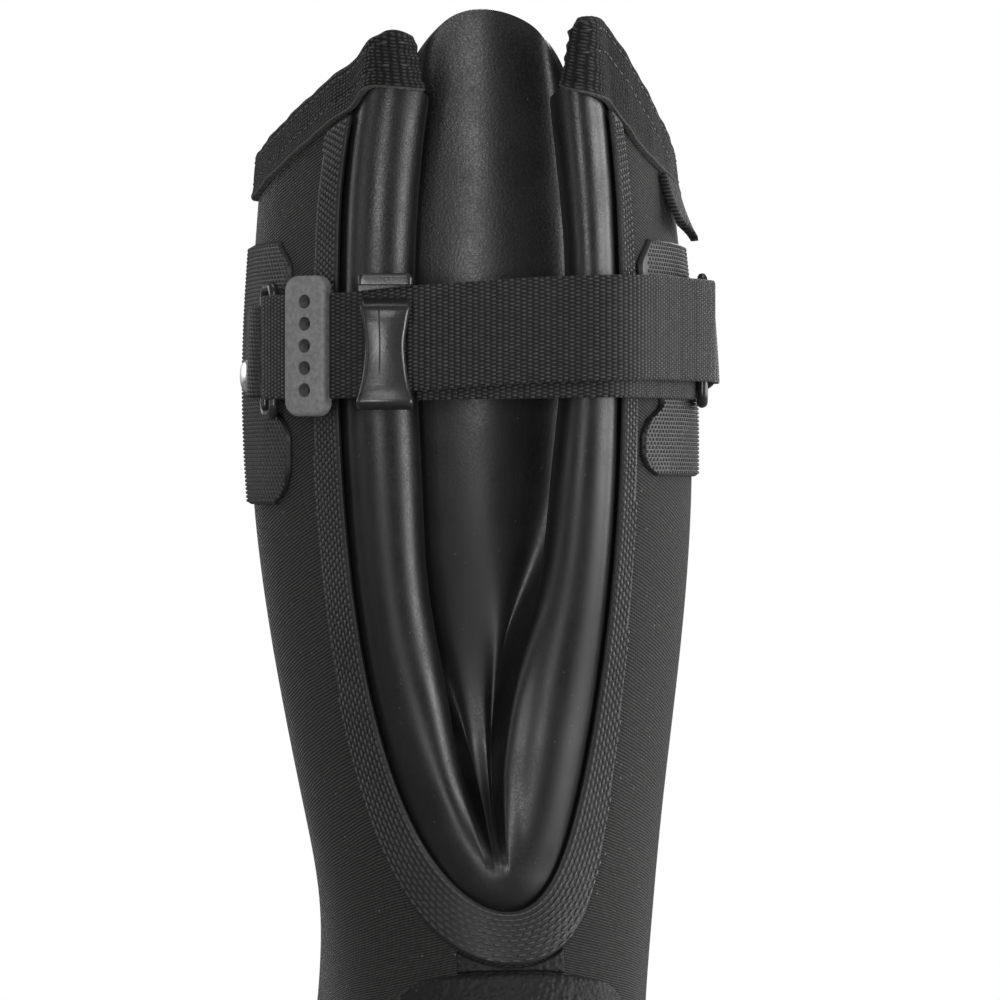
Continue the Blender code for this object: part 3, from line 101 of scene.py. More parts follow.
def spline_at(knots, values, at):
    """Natural cubic spline through each column of values.

    The second derivatives at the knots come from one linear system, and each span is then the
    line between its ends plus the two cubic terms of those bends.
    """
    knots = np.asarray(knots, float)
    at = np.asarray(at, float)
    values = np.asarray(values, float).reshape(len(knots), -1)
    step = np.diff(knots)
    inside = np.arange(1, len(knots) - 1)
    system = np.eye(len(knots))
    system[inside, inside - 1] = step[:-1]
    system[inside, inside] = 2 * (step[:-1] + step[1:])
    system[inside, inside + 1] = step[1:]
    right = np.zeros_like(values)
    right[1:-1] = 6 * np.diff(np.diff(values, axis=0) / step[:, None], axis=0)
    bends = np.linalg.solve(system, right)
    i = np.clip(np.searchsorted(knots, at) - 1, 0, len(knots) - 2)
    span = step[i][..., None]
    high = (at - knots[i])[..., None] / span
    low = 1 - high
    bend = (low**3 - low) * bends[i] + (high**3 - high) * bends[i + 1]
    return low * values[i] + high * values[i + 1] + bend * span**2 / 6


def last_point(angle, level):
    """Outer face of the boot at an angle round from the back seam by way of the inner side.

    The twelve stations of a section come from the table, and a closed cubic B-spline runs
    through them: its control points solve (near + 4 own + next) / 6 = station.
    """
    angle, level = np.broadcast_arrays(np.asarray(angle, float), np.asarray(level, float))
    row = dict(zip(SECTION_COLUMNS, np.moveaxis(spline_at(LEVELS, SECTIONS, level), -1, 0)))
    halves = [row[f"half_{a}"] for a in (30, 60, 90, 120, 150)]
    none = [np.zeros_like(level)]
    half = np.stack(none + halves + none + [-wide for wide in halves[::-1]], -1)
    x = row["lean"][..., None] + row["swing"][..., None] * SWING + half
    y = row["back_y"][..., None] + (row["front_y"] - row["back_y"])[..., None] * STATION_ALONG
    rise = (row["front_z"] - row["back_z"])[..., None] * STATION_ALONG
    z = row["back_z"][..., None] + rise - row["drop"][..., None] * DROP
    near = np.roll(np.eye(STATIONS), 1, axis=1)
    solve = np.linalg.inv((4 * np.eye(STATIONS) + near + near.T) / 6)
    control = np.einsum("ij,...jk->...ik", solve, np.stack([x, y, z], -1))
    place = np.mod(angle / STATION_STEP, STATIONS)
    base = np.floor(place).astype(int)
    f = (place - base)[..., None]
    weights = ((1 - f)**3, 3 * f**3 - 6 * f**2 + 4, -3 * f**3 + 3 * f**2 + 3 * f + 1, f**3)
    point = 0.0
    for k, weight in enumerate(weights):
        index = np.mod(base + k - 1, STATIONS)[..., None, None]
        point = point + weight / 6 * np.take_along_axis(control, index, axis=-2)[..., 0, :]
    return point


def unit(vectors):
    """Vectors divided by their lengths."""
    return vectors / np.maximum(np.linalg.norm(vectors, axis=-1, keepdims=True), 1e-9)


def run_across(grid):
    """Running length along each row of a grid."""
    return np.linalg.norm(np.diff(grid, axis=1, prepend=grid[:, :1]), axis=-1).cumsum(axis=1)


def face_point(angle, level, offset=0.0):
    """The outer face moved along its outward normal, the cross product of two small chords."""
    small = 0.5
    across = last_point(angle + small, level) - last_point(angle - small, level)
    up = last_point(angle, level + small) - last_point(angle, level - small)
    return last_point(angle, level) + unit(np.cross(across, up)) * np.asarray(offset, float)[..., None]


LEVEL_STEP = 2.0
ANGLE_STEP = 2.0
RING_LEVELS = np.arange(90.0, 384.0, LEVEL_STEP)
RING_ANGLES = np.arange(-164.0, 165.0, ANGLE_STEP)
RINGS = last_point(RING_ANGLES, RING_LEVELS[:, None])
RING_ARCS = run_across(RINGS)
RING_ARCS = RING_ARCS - RING_ARCS[:, len(RING_ANGLES) // 2, None]


def wrap(arc, z):
    """Angle and level of the spot at height z, an arc length round from the back seam.

    The angle is read off a table of rings by its arc, and the level moves until the height fits.
    """
    arc, z = np.broadcast_arrays(np.asarray(arc, float), np.asarray(z, float))
    level = z.copy()
    for _ in range(4):
        row = np.clip((level - RING_LEVELS[0]) / LEVEL_STEP, 0, len(RING_LEVELS) - 1.001)
        i = row.astype(int)
        f = row - i
        arcs = (1 - f)[..., None] * RING_ARCS[i] + f[..., None] * RING_ARCS[i + 1]
        k = np.clip((arcs < arc[..., None]).sum(-1) - 1, 0, len(RING_ANGLES) - 2)
        low = np.take_along_axis(arcs, k[..., None], -1)[..., 0]
        high = np.take_along_axis(arcs, k[..., None] + 1, -1)[..., 0]
        g = (arc - low) / (high - low)
        heights = [(1 - g) * RINGS[j, k, 2] + g * RINGS[j, k + 1, 2] for j in (i, i + 1)]
        level = level + z - ((1 - f) * heights[0] + f * heights[1])
    return RING_ANGLES[k] + g * ANGLE_STEP, level


def back_point(arc, z, offset=0.0):
    """A point on or over the shaft, by arc length from the back seam, height and offset."""
    return face_point(*wrap(arc, z), offset)


def smooth(value):
    """Smooth step from 0 to 1."""
    t = np.clip(value, 0.0, 1.0)
    return t * t * (3 - 2 * t)


def throat_half(z, grow=0.0):
    """Half opening of the throat: a half ellipse, then straight, nipped in at the collar."""
    t = np.clip((z - THROAT_FLOOR + grow) / (THROAT_RISE + grow), 0.0, 1.0)
    nip = THROAT_NIP * np.clip((z - THROAT_NIP_START) / THROAT_NIP_SPAN, 0.0, None)**2
    return (THROAT_HALF + grow) * np.sqrt(1 - (1 - t)**2) - nip * (t > 0)


def throat_centre(z):
    """The throat's middle line drifts towards the outer side between its two ends."""
    share = np.clip((z - THROAT_FLOOR) / (THROAT_TOP - THROAT_FLOOR), 0, 1)
    return THROAT_DRIFT * (1 - (1 - 2 * share)**4)


def collar_height(angle):
    """Height of the collar edge, a power of the cosine that is highest over the back corners."""
    turn = np.radians(angle)
    c = np.cos(turn)
    inner, outer = (COLLAR_RISES[side] * np.clip(c, 0, None)**COLLAR_POWERS[side]
                    for side in ("inner", "outer"))
    back = np.where(np.sin(turn) > 0, inner, outer)
    return COLLAR_SIDE + np.where(c > 0, back, COLLAR_FRONT_RISE * c**2)


def collar_level(angle, below=0.0):
    """Level whose point at this angle lies at, or a distance under, the collar edge."""
    level = collar_height(angle) - below
    for _ in range(4):
        level = level + collar_height(angle) - below - last_point(angle, level)[..., 2]
    return level


def feather_ring(angles, offset):
    """The lower edge of the upper, moved out level along its own normal."""
    level = np.full_like(angles, FEATHER)
    ring = last_point(angles, level)
    tangent = unit((last_point(angles + 1, level) - last_point(angles - 1, level))[:, :2])
    ring[:, :2] += offset * np.stack([tangent[:, 1], -tangent[:, 0]], -1)
    return ring


SOLE_RIB = 6.0
SOLE_SIDES = 40
sole_edge = feather_ring(np.arange(SOLE_SIDES) * 360.0 / SOLE_SIDES, SOLE_RIB)
sole_corner = np.array(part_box("outsole")[0]) * 1000
SEAT = np.array([*(sole_corner - sole_edge.min(axis=0))[:2], 0.0])


def add_piece(name, points, faces, finish, coords=None, sharp=SHARP_EDGE):
    """Object from millimetre points and quads: doubles merged, faces outward, shaded smooth.

    The coords, millimetres along and across the surface, become the UV map of each of its sides.
    """
    mesh = bpy.data.meshes.new(name)
    mesh.from_pydata(((points.reshape(-1, 3) + SEAT) / 1000).tolist(), [], faces.tolist())
    if coords is not None:
        layer = mesh.uv_layers.new(name="surface")
        corners = np.resize(coords, (points.size // 3, 2))[faces.ravel()]
        layer.data.foreach_set("uv", corners.astype(np.float32).ravel())
    work = bmesh.new()
    work.from_mesh(mesh)
    bmesh.ops.remove_doubles(work, verts=work.verts, dist=2e-6)
    bmesh.ops.dissolve_degenerate(work, edges=work.edges, dist=1e-7)
    bmesh.ops.recalc_face_normals(work, faces=work.faces)
    work.to_mesh(mesh)
    work.free()
    mesh.shade_smooth()
    mesh.set_sharp_from_angle(angle=math.radians(sharp))
    mesh.materials.append(finish)
    made = bpy.data.objects.new(name, mesh)
    bpy.context.scene.collection.objects.link(made)
    return made


def grid_quads(rows, columns):
    """Corner numbers of every cell of a grid."""
    index = np.arange(rows * columns).reshape(rows, columns)
    cells = [index[:-1, :-1], index[:-1, 1:], index[1:, 1:], index[1:, :-1]]
    return np.stack(cells, -1).reshape(-1, 4), index


def opaque(colour):
    """A grey level or a colour triple as a socket's value."""
    return (*np.resize(colour, 3), 1.0)


def new_finish(name, colour, roughness, **sockets):
    """A Principled material, with its shader for the nodes that follow."""
    made = bpy.data.materials.new(name)
    made.use_nodes = True
    shader = made.node_tree.nodes["Principled BSDF"]
    shader.inputs["Base Color"].default_value = opaque(colour)
    shader.inputs["Roughness"].default_value = roughness
    for socket, value in sockets.items():
        shader.inputs[socket.replace("_", " ")].default_value = value
    return made, shader


def node(owner, kind, inputs, **settings):
    """Outputs of a new node in the owner's tree; its inputs are values, or outputs to link."""
    made = owner.id_data.nodes.new("ShaderNode" + kind)
    for setting, value in settings.items():
        setattr(made, setting, value)
    for key, value in inputs.items():
        if isinstance(value, bpy.types.NodeSocket):
            owner.id_data.links.new(value, made.inputs[key])
        else:
            made.inputs[key].default_value = value
    return made.outputs


def feed(shader, socket, output):
    """Link an output to one of the shader's sockets."""
    shader.id_data.links.new(output, shader.inputs[socket])


def maths(operation, *values):
    """One arithmetic step between outputs and numbers."""
    owner = next(value for value in values if isinstance(value, bpy.types.NodeSocket))
    return node(owner, "Math", dict(enumerate(values)), operation=operation)[0]


def stripes(place, pitch):
    """A sine that repeats every pitch along a coordinate, from 0 to 1."""
    wave = maths("SINE", maths("MULTIPLY", place, 2 * math.pi / pitch))
    return maths("MULTIPLY_ADD", wave, 0.5, 0.5)


def surface_coords(shader):
    """The UV map's two coordinates, in millimetres, and the map itself."""
    uv = node(shader, "UVMap", {}, uv_map="surface")[0]
    along, across, _ = node(uv, "SeparateXYZ", {0: uv})
    return along, across, uv


def blotches(vector, scale, low=0.0, high=1.0, detail=3.0):
    """Soft noise, spread from one value to another."""
    noise = node(vector, "TexNoise", {"Vector": vector, "Scale": scale, "Detail": detail})[0]
    return node(vector, "MapRange", {"Value": noise, "From Min": 0.3, "From Max": 0.7, "To Min": low,
                                     "To Max": high})[0]


def specks(vector, scale, size):
    """Sparse dots of lint or dust: 1 close to some cell centres, 0 elsewhere."""
    cells = node(vector, "TexVoronoi", {"Vector": vector, "Scale": scale})
    near = maths("LESS_THAN", cells["Distance"], size)
    chance = node(vector, "SeparateColor", {0: cells["Color"]})[0]
    return maths("MULTIPLY", near, maths("GREATER_THAN", chance, 0.7))


def mix_colours(factor, first, second):
    """Blend between two colours, each a grey level, a triple or an output."""
    first, second = (colour if isinstance(colour, bpy.types.NodeSocket) else opaque(colour)
                     for colour in (first, second))
    return node(factor, "Mix", {0: factor, 6: first, 7: second}, data_type="RGBA")[2]


def relief(shader, height, distance, strength=1.0):
    """Raise the surface's look by a height from 0 to 1 over a distance in millimetres."""
    bump = node(shader, "Bump", {"Strength": strength, "Distance": distance / 1000, "Height": height})[0]
    feed(shader, "Normal", bump)


KNIT_PITCH = 0.8
KNIT_SLOPE = 0.3
LOOP_PITCH = 1.3
knit, shader = new_finish("shaft_knit", 0.03, 0.85, Sheen_Weight=0.2, Sheen_Roughness=0.3,
                                Specular_IOR_Level=0.12)
around, height, uv = surface_coords(shader)
wander = blotches(uv, 0.06, -0.35, 0.35)
towards_throat = maths("MULTIPLY", maths("ABSOLUTE", around), -KNIT_SLOPE)
rib_place = maths("ADD", maths("ADD", height, wander), towards_throat)
ribs = stripes(rib_place, KNIT_PITCH)
loops = stripes(maths("MULTIPLY_ADD", rib_place, 0.5, around), LOOP_PITCH)
knit_height = maths("MULTIPLY", ribs, maths("MULTIPLY_ADD", loops, 0.3, 0.7))
thread = mix_colours(blotches(uv, 0.6), (0.043, 0.043, 0.042), (0.072, 0.071, 0.069))
# The gaps between the ribs are coloured near black: painted shade in the hollows of the knit. The
# thread's own tone wanders at random, and lint specks are real.
shade = mix_colours(knit_height, 0.015, thread)
lint = specks(uv, 0.35, 0.09)
feed(shader, "Base Color", mix_colours(lint, shade, (0.16, 0.16, 0.15)))
relief(shader, knit_height, 0.25, 0.8)

around_share = np.linspace(0, 1, SHAFT_COLUMNS + 1)
foot_levels = np.linspace(FEATHER, FOOT_ROWS_TOP, 46)
shaft_angles = [360 * around_share for _ in foot_levels]
shaft_levels = [np.full_like(around_share, level) for level in foot_levels]
notch_floor = THROAT_FLOOR - NOTCH_LAP
notch_top = THROAT_FLOOR + THROAT_RISE
notch_z = notch_floor + (notch_top - notch_floor) * (1 - np.cos(np.radians(np.linspace(0, 90, 60))))
edge_arcs = throat_centre(notch_z) + throat_half(notch_z, NOTCH_LAP) * np.array([[1.0], [-1.0]])
edge_angles, edge_levels = wrap(edge_arcs, notch_z)
turn = edge_angles[1] + 360 - edge_angles[0]
shaft_angles += list(edge_angles[0][:, None] + turn[:, None] * around_share)
shaft_levels += list(edge_levels[0][:, None] + (edge_levels[1] - edge_levels[0])[:, None] * around_share)
straight_levels = shaft_levels[-1]
for part in NOTCH_PARTS:
    z = notch_top + part * (CORNER_Z - notch_top)
    ends, _ = wrap(throat_centre(z) + throat_half(z, NOTCH_LAP) * np.array([1.0, -1.0]), z)
    angles = ends[0] + (ends[1] + 360 - ends[0]) * around_share
    top = collar_level(angles, COLLAR_TUCK)
    shaft_angles.append(angles)
    shaft_levels.append(straight_levels + part * (top - straight_levels))
shaft_angles = np.array(shaft_angles)
shaft_levels = np.array(shaft_levels)
outer = face_point(shaft_angles, shaft_levels)
inner = face_point(shaft_angles, shaft_levels, -WALL)
girth = run_across(outer)
coords = np.stack([girth - girth[:, SHAFT_COLUMNS // 2, None], outer[..., 2]], -1)
face, index = grid_quads(*outer.shape[:2])
under = index.size
open_rows = len(foot_levels)
rims = [index[0], index[-1], index[open_rows:, 0], index[open_rows:, -1]]
rim_quads = [np.stack([rim[:-1], rim[1:], rim[1:] + under, rim[:-1] + under], -1) for rim in rims]
faces = np.concatenate([face, face[:, ::-1] + under] + rim_quads)
points = np.concatenate([outer.reshape(-1, 3), inner.reshape(-1, 3)])
shaft = add_piece("shaft", points, faces, knit, coords)
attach(shaft, "root")
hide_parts("upper")

# Foot shell: smooth black rubber moulded over the foam of the foot, from the sole's edge up to the
# instep and round to the heel counter on both sides.  Its free edges are rounded.
SHELL_THICK = 2.0
SHELL_LEAST = 0.25
SHELL_TOP = 94.0
SHELL_ROW_POWER = 1.7
COUNTER_ANGLE = 36.0
ARC_PER_DEGREE = 1.2
EDGE_ROUND = 1.6


def rounded_edge(distance, radius):
    """Share of full thickness near an edge, a quarter circle over the radius."""
    return np.sqrt(1 - (1 - np.clip(distance / radius, 0, 1))**2)


def edge_thickness(full, least, radius, *gaps):
    """Thickness that rounds off from full to a least share of it at each of several edges."""
    return full * (least + (1 - least) * math.prod(rounded_edge(gap, radius) for gap in gaps))


def overlay(angles, levels, stand, thick):
    """Outer and inner grids of a layer over the foot, level with the feather edge below."""
    outer = face_point(angles, levels, stand + thick)
    inner = face_point(angles, levels, stand)
    for face in (outer, inner):
        face[0, :, 2] = last_point(angles[0], levels[0])[:, 2]
    return outer, inner


def shell(outer, inner):
    """Closed skin between two grids of one layout: both faces and the rim round their edges."""
    face, index = grid_quads(*outer.shape[:2])
    edge = np.concatenate([index[0, :-1], index[:-1, -1], index[-1, :0:-1], index[:0:-1, 0]])
    ahead = np.roll(edge, -1)
    rim = np.stack([edge, edge + index.size, ahead + index.size, ahead], -1)
    points = np.concatenate([outer.reshape(-1, 3), inner.reshape(-1, 3)])
    return points, np.concatenate([face, face[:, ::-1] + index.size, rim])


def object_coords(shader):
    """Coordinates in the piece's own space, in metres."""
    return node(shader, "TexCoord", {})["Object"]


def grain(shader, place, scale, depth, strength=0.5):
    """Fine uneven texture: soft noise as relief."""
    relief(shader, blotches(place, scale), depth, strength)


def rubber(name, colour, roughness, dust):
    """Black rubber, its gloss broken by fine dull dots, with a thin scatter of pale dust."""
    made, shader = new_finish(name, colour, roughness, Specular_IOR_Level=0.5)
    place = object_coords(shader)
    body = mix_colours(blotches(place, 60.0), colour, np.multiply(1.5, colour))
    spots = maths("MULTIPLY", specks(place, 480.0, 0.09), dust)
    feed(shader, "Base Color", mix_colours(spots, body, (0.35, 0.35, 0.34)))
    gloss = blotches(place, 90.0, -0.05, 0.05)
    dots = blotches(place, 1800.0, roughness - 0.03, roughness + 0.09, 1.0)
    feed(shader, "Roughness", maths("ADD", gloss, dots))
    return made, shader, place


foot_rubber, shader, place = rubber("foot_rubber", 0.011, 0.42, 0.2)
grain(shader, place, 700.0, 0.12)
shell_share = np.linspace(0, 1, 70)[:, None]
shell_level = FEATHER + (SHELL_TOP - FEATHER) * (1 - (1 - shell_share)**SHELL_ROW_POWER)
angles = np.linspace(COUNTER_ANGLE, 360 - COUNTER_ANGLE, 181) + 0 * shell_level
levels = shell_level + 0 * angles
side_gap = np.minimum(angles - COUNTER_ANGLE, 360 - COUNTER_ANGLE - angles) * ARC_PER_DEGREE
thick = edge_thickness(SHELL_THICK, SHELL_LEAST, EDGE_ROUND, SHELL_TOP - levels, side_gap)
foot_shell = add_piece("foot_cover", *shell(*overlay(angles, levels, CLEARANCE, thick)), foot_rubber)
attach(foot_shell, "root")
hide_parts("foot_shell")

# Heel counter: thick grained rubber cup round the heel, with a domed top under the throat.  It
# is moulded over the foam like the foot shell, and meets it beside the heel.
COUNTER_STAND = 0.55
COUNTER_THICK = 2.4
COUNTER_LEAST = 0.3
COUNTER_TOP = 130.6
COUNTER_CROWN = 10.0
COUNTER_HALF = COUNTER_ANGLE - CLEARANCE
COUNTER_ROW_POWER = 1.5


def counter_top(share):
    """Height of the counter's crown across its width, a flat half ellipse."""
    return COUNTER_TOP - COUNTER_CROWN * (1 - np.sqrt(1 - np.clip(np.abs(share), 0, 1)**2))


def pebbles(place, scale):
    """Moulded grain: rounded cells with narrow creases between them."""
    cells = node(place, "TexVoronoi", {"Vector": place, "Scale": scale}, feature="SMOOTH_F1")
    return maths("SUBTRACT", 1.0, cells["Distance"])


grain_rubber, shader, place = rubber("grained_rubber", 0.006, 0.6, 0.2)
shader.inputs["Specular IOR Level"].default_value = 0.3
relief(shader, pebbles(place, 900.0), 0.5, 0.8)
counter_share = np.linspace(-1, 1, 97)
rise = (1 - (1 - np.linspace(0, 1, 90))**COUNTER_ROW_POWER)[:, None]
levels = FEATHER + (counter_top(counter_share) - FEATHER) * rise
angles = COUNTER_HALF * counter_share + 0 * levels
side_gap = (1 - np.abs(counter_share)) * COUNTER_HALF * ARC_PER_DEGREE
thick = edge_thickness(COUNTER_THICK, COUNTER_LEAST, EDGE_ROUND,
                       counter_top(counter_share) - levels, side_gap)
counter = add_piece("heel_cup", *shell(*overlay(angles, levels, COUNTER_STAND, thick)), grain_rubber)
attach(counter, "root")
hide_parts("heel_counter")

# Outsole: one moulding of hard black rubber with a stepped side, a rib round it, cross lugs under
# heel and forefoot and a raised arch.  It is cemented under the feather edge.
SOLE_LEDGE = 4.5
TOE_SPRING = 16.0
SPRING_START = 225.0
SPRING_RUN = 78.0
SOLE_PROFILE = np.array([
    # offset, height
    (1.2, 0.0), (4.0, 4.5), (4.0, 12.2), (SOLE_RIB, 13.9), (SOLE_RIB, 19.9), (SOLE_LEDGE, 21.6),
    (SOLE_LEDGE, 27.7), (0.0, 27.7)])
CORNER_CUT = 0.7
TREAD_HALF = 80.0
TREAD_UNDER = -6.0
GROOVES = (28.0, 46.0, 64.0, 156.0, 174.0, 192.0, 210.0, 230.0, 250.0, 270.0)
GROOVE_DEPTH = 5.0
GROOVE_WIDTH = 5.0
GROOVE_DRAFT = 1.0
ARCH_OUTLINE = ((86.0, TREAD_UNDER), (88.0, 10.0), (100.0, 11.5), (124.0, 7.0), (135.0, 1.5),
                (138.0, TREAD_UNDER))


def sole_bottom(y):
    """Height of the tread: flat under heel and forefoot, lifting to the toe as a square."""
    return TOE_SPRING * np.clip((y - SPRING_START) / SPRING_RUN, 0, None)**2


def soft_corners(profile, cut):
    """Profile whose inner corners are quadratic curves that start a cut before each corner."""
    before = unit(profile[:-2] - profile[1:-1])
    after = unit(profile[2:] - profile[1:-1])
    t = np.linspace(0, 1, 5)[None, :, None]
    start, corner, end = ((profile[1:-1] + cut * way)[:, None] for way in (before, 0, after))
    curve = (1 - t)**2 * start + 2 * t * (1 - t) * corner + t**2 * end
    return np.concatenate([profile[:1], curve.reshape(-1, profile.shape[1]), profile[-1:]])


def foot_rings(offsets, heights, sides):
    """Rings offset from the feather edge, drawn in to the foot's middle line at both ends."""
    angles = np.arange(sides) * 360.0 / sides
    rings = np.array([feather_ring(angles, offset) for offset in offsets])
    bottom = sole_bottom(rings[..., 1])
    share = heights[:, None] / (FEATHER - CLEARANCE)
    rings[..., 2] = bottom + (rings[..., 2] - CLEARANCE - bottom) * share
    middle = (rings + np.roll(rings[:, ::-1], 1, axis=1)) / 2
    rings = np.concatenate([middle[:1], rings, middle[-1:]])
    return np.concatenate([rings, rings[:, :1]], axis=1)


def prism(outline):
    """Bar right across the sole with the given outline of y and z."""
    outline = np.asarray(outline, float)
    ends = [np.column_stack([np.full(len(outline), x), outline]) for x in (-TREAD_HALF, TREAD_HALF)]
    middles = [np.repeat(end.mean(axis=0)[None], len(outline), axis=0) for end in ends]
    bar = np.array([middles[0], ends[0], ends[1], middles[1]])
    return np.concatenate([bar, bar[:, :1]], axis=1)


def add_grid(name, grid, finish):
    """Object from one grid of points that closes on itself."""
    return add_piece(name, grid, grid_quads(*grid.shape[:2])[0], finish)


def cut_away(target, grids, finish):
    """Subtract closed grids from a piece and keep the result as its mesh."""
    cutters = [add_grid("cutter", grid, finish) for grid in grids]
    for cutter in cutters:
        step = target.modifiers.new("cut", "BOOLEAN")
        step.operation = "DIFFERENCE"
        step.solver = "EXACT"
        step.object = cutter
    bpy.context.view_layer.update()
    graph = bpy.context.evaluated_depsgraph_get()
    result = bpy.data.meshes.new_from_object(target.evaluated_get(graph))
    target.modifiers.clear()
    target.data = result
    for cutter in cutters:
        bpy.data.objects.remove(cutter, do_unlink=True)
    result.shade_smooth()
    result.set_sharp_from_angle(angle=math.radians(SHARP_EDGE))


sole_rubber, shader, place = rubber("sole_rubber", 0.014, 0.55, 0.2)
grain(shader, place, 900.0, 0.2)
profile = soft_corners(SOLE_PROFILE, CORNER_CUT)
outsole = add_grid("outsole_moulding", foot_rings(*profile.T, 160), sole_rubber)
bars = [prism(ARCH_OUTLINE)]
for y in GROOVES:
    top = float(sole_bottom(y)) + GROOVE_DEPTH
    end = y + GROOVE_WIDTH
    bars.append(prism([(y, TREAD_UNDER), (y + GROOVE_DRAFT, top), (end - GROOVE_DRAFT, top),
                       (end, TREAD_UNDER)]))
cut_away(outsole, bars, sole_rubber)
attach(outsole, "root")
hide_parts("outsole")

# Insole: a loose footbed of foam with a grey felt face, cut to the inside of the foot and laid on
# the sole's edge.
INSOLE_INSET = 5.2
INSOLE_CUT = 0.4
INSOLE_PROFILE = np.array([(0.0, 27.7), (0.0, 31.4), (-1.0, 31.9)])
felt, shader = new_finish("insole_felt", 0.08, 0.95, Sheen_Weight=0.3)
grain(shader, object_coords(shader), 1500.0, 0.4, 0.6)
profile = soft_corners(INSOLE_PROFILE, INSOLE_CUT)
insole = add_grid("footbed", foot_rings(profile[:, 0] - INSOLE_INSET, profile[:, 1], 120), felt)
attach(insole, "root")
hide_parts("insole")

# Gusset: one sheet of smooth satin rubber that closes the throat, folded into a roll on each side
# and a sunk middle panel, and cemented under the throat's edges.
SHEET = 1.8
SHEET_DEPTH = 2.0
GUSSET_LAP = 2.2
GUSSET_ROW_ANGLES = np.radians(np.linspace(0.6, 90, 100))
FOLD_COLUMNS = ("roll", "panel", "plain", "depth", "inner", "outer", "lift")
FOLD = np.array([
    (0.00, 0.00, 0.00, 1.1, 1.1, 1.1, 3.0), (0.09, 0.00, 0.10, 4.8, 5.0, 3.8, 3.0),
    (0.27, 0.00, 0.25, 7.4, 7.5, 6.2, 3.0), (0.51, 0.00, 0.39, 8.4, 7.9, 7.6, 3.0),
    (0.75, 0.00, 0.50, 7.3, 7.2, 8.1, 3.0), (0.93, 0.00, 0.59, 4.3, 6.8, 7.4, 1.5),
    (1.00, 0.00, 0.66, 0.3, 6.0, 6.0, 0.5), (0.93, 0.00, 0.69, -3.3, 4.6, 4.6, 0.0),
    (0.75, 0.00, 0.73, -6.0, 2.2, 2.2, 0.0), (0.64, 0.00, 0.78, -8.6, -1.0, -1.0, 2.0),
    (0.78, 0.00, 0.84, -10.9, -5.0, -5.6, 8.0), (1.00, 0.40, 0.91, -10.7, -7.8, -8.6, 20.3),
    (1.00, 1.00, 1.00, -8.8, -9.2, -9.2, 22.8)])
CREST_ROW = 3
NOSE_PLAIN = 0.66
NOSE_HEIGHTS = (150.0, 163.0, 178.0, 194.0, 207.0, 223.0, 247.0, 304.0, 342.0)
NOSE_OPENING = {
    "inner": (1.2, 2.6, 4.3, 7.2, 10.2, 14.3, 17.4, 21.6, 17.6),
    "outer": (2.0, 5.2, 8.0, 9.6, 11.5, 13.9, 15.2, 16.4, 13.7)}
NOSE_LEAST = 0.2
PLEAT_HEIGHTS = {"inner": (190.0, 250.0), "outer": (165.0, 215.0)}
FOLD_START = 1.0
FOLD_SPAN = 16.0
LIP_EDGE = 1.1
LIP_RISE = 5.5
PANEL_START = 12.0
PANEL_SPAN = 12.0
GUSSET_TOP = 343.0
LIFT_START = 311.0
KNOT_HEIGHT = 283.0
GUSSET_COLUMNS = 200
LEAST_HALF = 0.01


def gusset_section(z):
    """Level rows of the folded sheet, from the inner edge of the throat to the outer.

    Across the chord between the throat's edges, each fold point lies a share of the roll and of
    the middle panel in from the edge, and stands out by its depth.  Towards the floor of the
    throat each pleat opens out into a soft ridge beside a shallow bowl, which ends at a round lip.
    """
    both = np.array([1.0, -1.0])
    up = z[:, None]
    middle = throat_centre(up)
    lap = back_point(middle + throat_half(up, GUSSET_LAP) * both, up, -SHEET_DEPTH)
    edge = back_point(middle + throat_half(up) * both, up, -SHEET_DEPTH)
    centre = edge.mean(axis=1, keepdims=True)
    chord = (edge[:, :1] - edge[:, 1:]) / 2
    half = np.linalg.norm(chord, axis=-1)
    safe = np.maximum(half, LEAST_HALF)
    along = np.where(half[..., None] > LEAST_HALF, chord / safe[..., None], (1.0, 0.0, 0.0))
    out = np.stack([along[..., 1], -along[..., 0], np.zeros_like(half)], -1)
    column = {name: FOLD[None, :, k] for k, name in enumerate(FOLD_COLUMNS)}
    plain = column["plain"]
    roll_fade = smooth((half - FOLD_START) / FOLD_SPAN)
    panel_fade = smooth((half - PANEL_START) / PANEL_SPAN)
    lift = column["lift"] * smooth((up - LIFT_START) / (GUSSET_TOP - LIFT_START))
    rise = np.stack([0 * lift, 0 * lift, lift], -1)
    at = np.clip(z, NOSE_HEIGHTS[0], NOSE_HEIGHTS[-1])
    folds = {}
    for side, way in (("inner", 1.0), ("outer", -1.0)):
        nose = np.minimum(spline_at(NOSE_HEIGHTS, NOSE_OPENING[side], at), half)
        nose = np.maximum(nose, NOSE_LEAST * half)
        low, high = PLEAT_HEIGHTS[side]
        pleat = smooth((up - low) / (high - low))
        pleated = half - column["roll"] * (half - nose) - column["panel"] * nose
        opened = np.where(plain < NOSE_PLAIN, half - plain / NOSE_PLAIN * (half - nose),
                          nose * (1 - plain) / (1 - NOSE_PLAIN))
        across = way * (pleat * pleated + (1 - pleat) * opened)
        depth = pleat * column["depth"] + (1 - pleat) * column[side]
        lip = LIP_EDGE + LIP_RISE * (1 - (across / safe)**2)
        depth = roll_fade * (lip + (depth - lip) * panel_fade)
        folds[side] = centre + across[..., None] * along + depth[..., None] * out + rise
    return np.concatenate([lap[:, :1], folds["inner"], folds["outer"][:, -2::-1], lap[:, 1:]], axis=1)


def chord_knots(points):
    """Running length along a row of points."""
    return np.concatenate([[0.0], np.cumsum(np.linalg.norm(np.diff(points, axis=0), axis=1))])


def grid_normals(points):
    """Unit normals of a grid, from the cross product of its two gradients."""
    return unit(np.cross(np.gradient(points, axis=1), np.gradient(points, axis=0)))


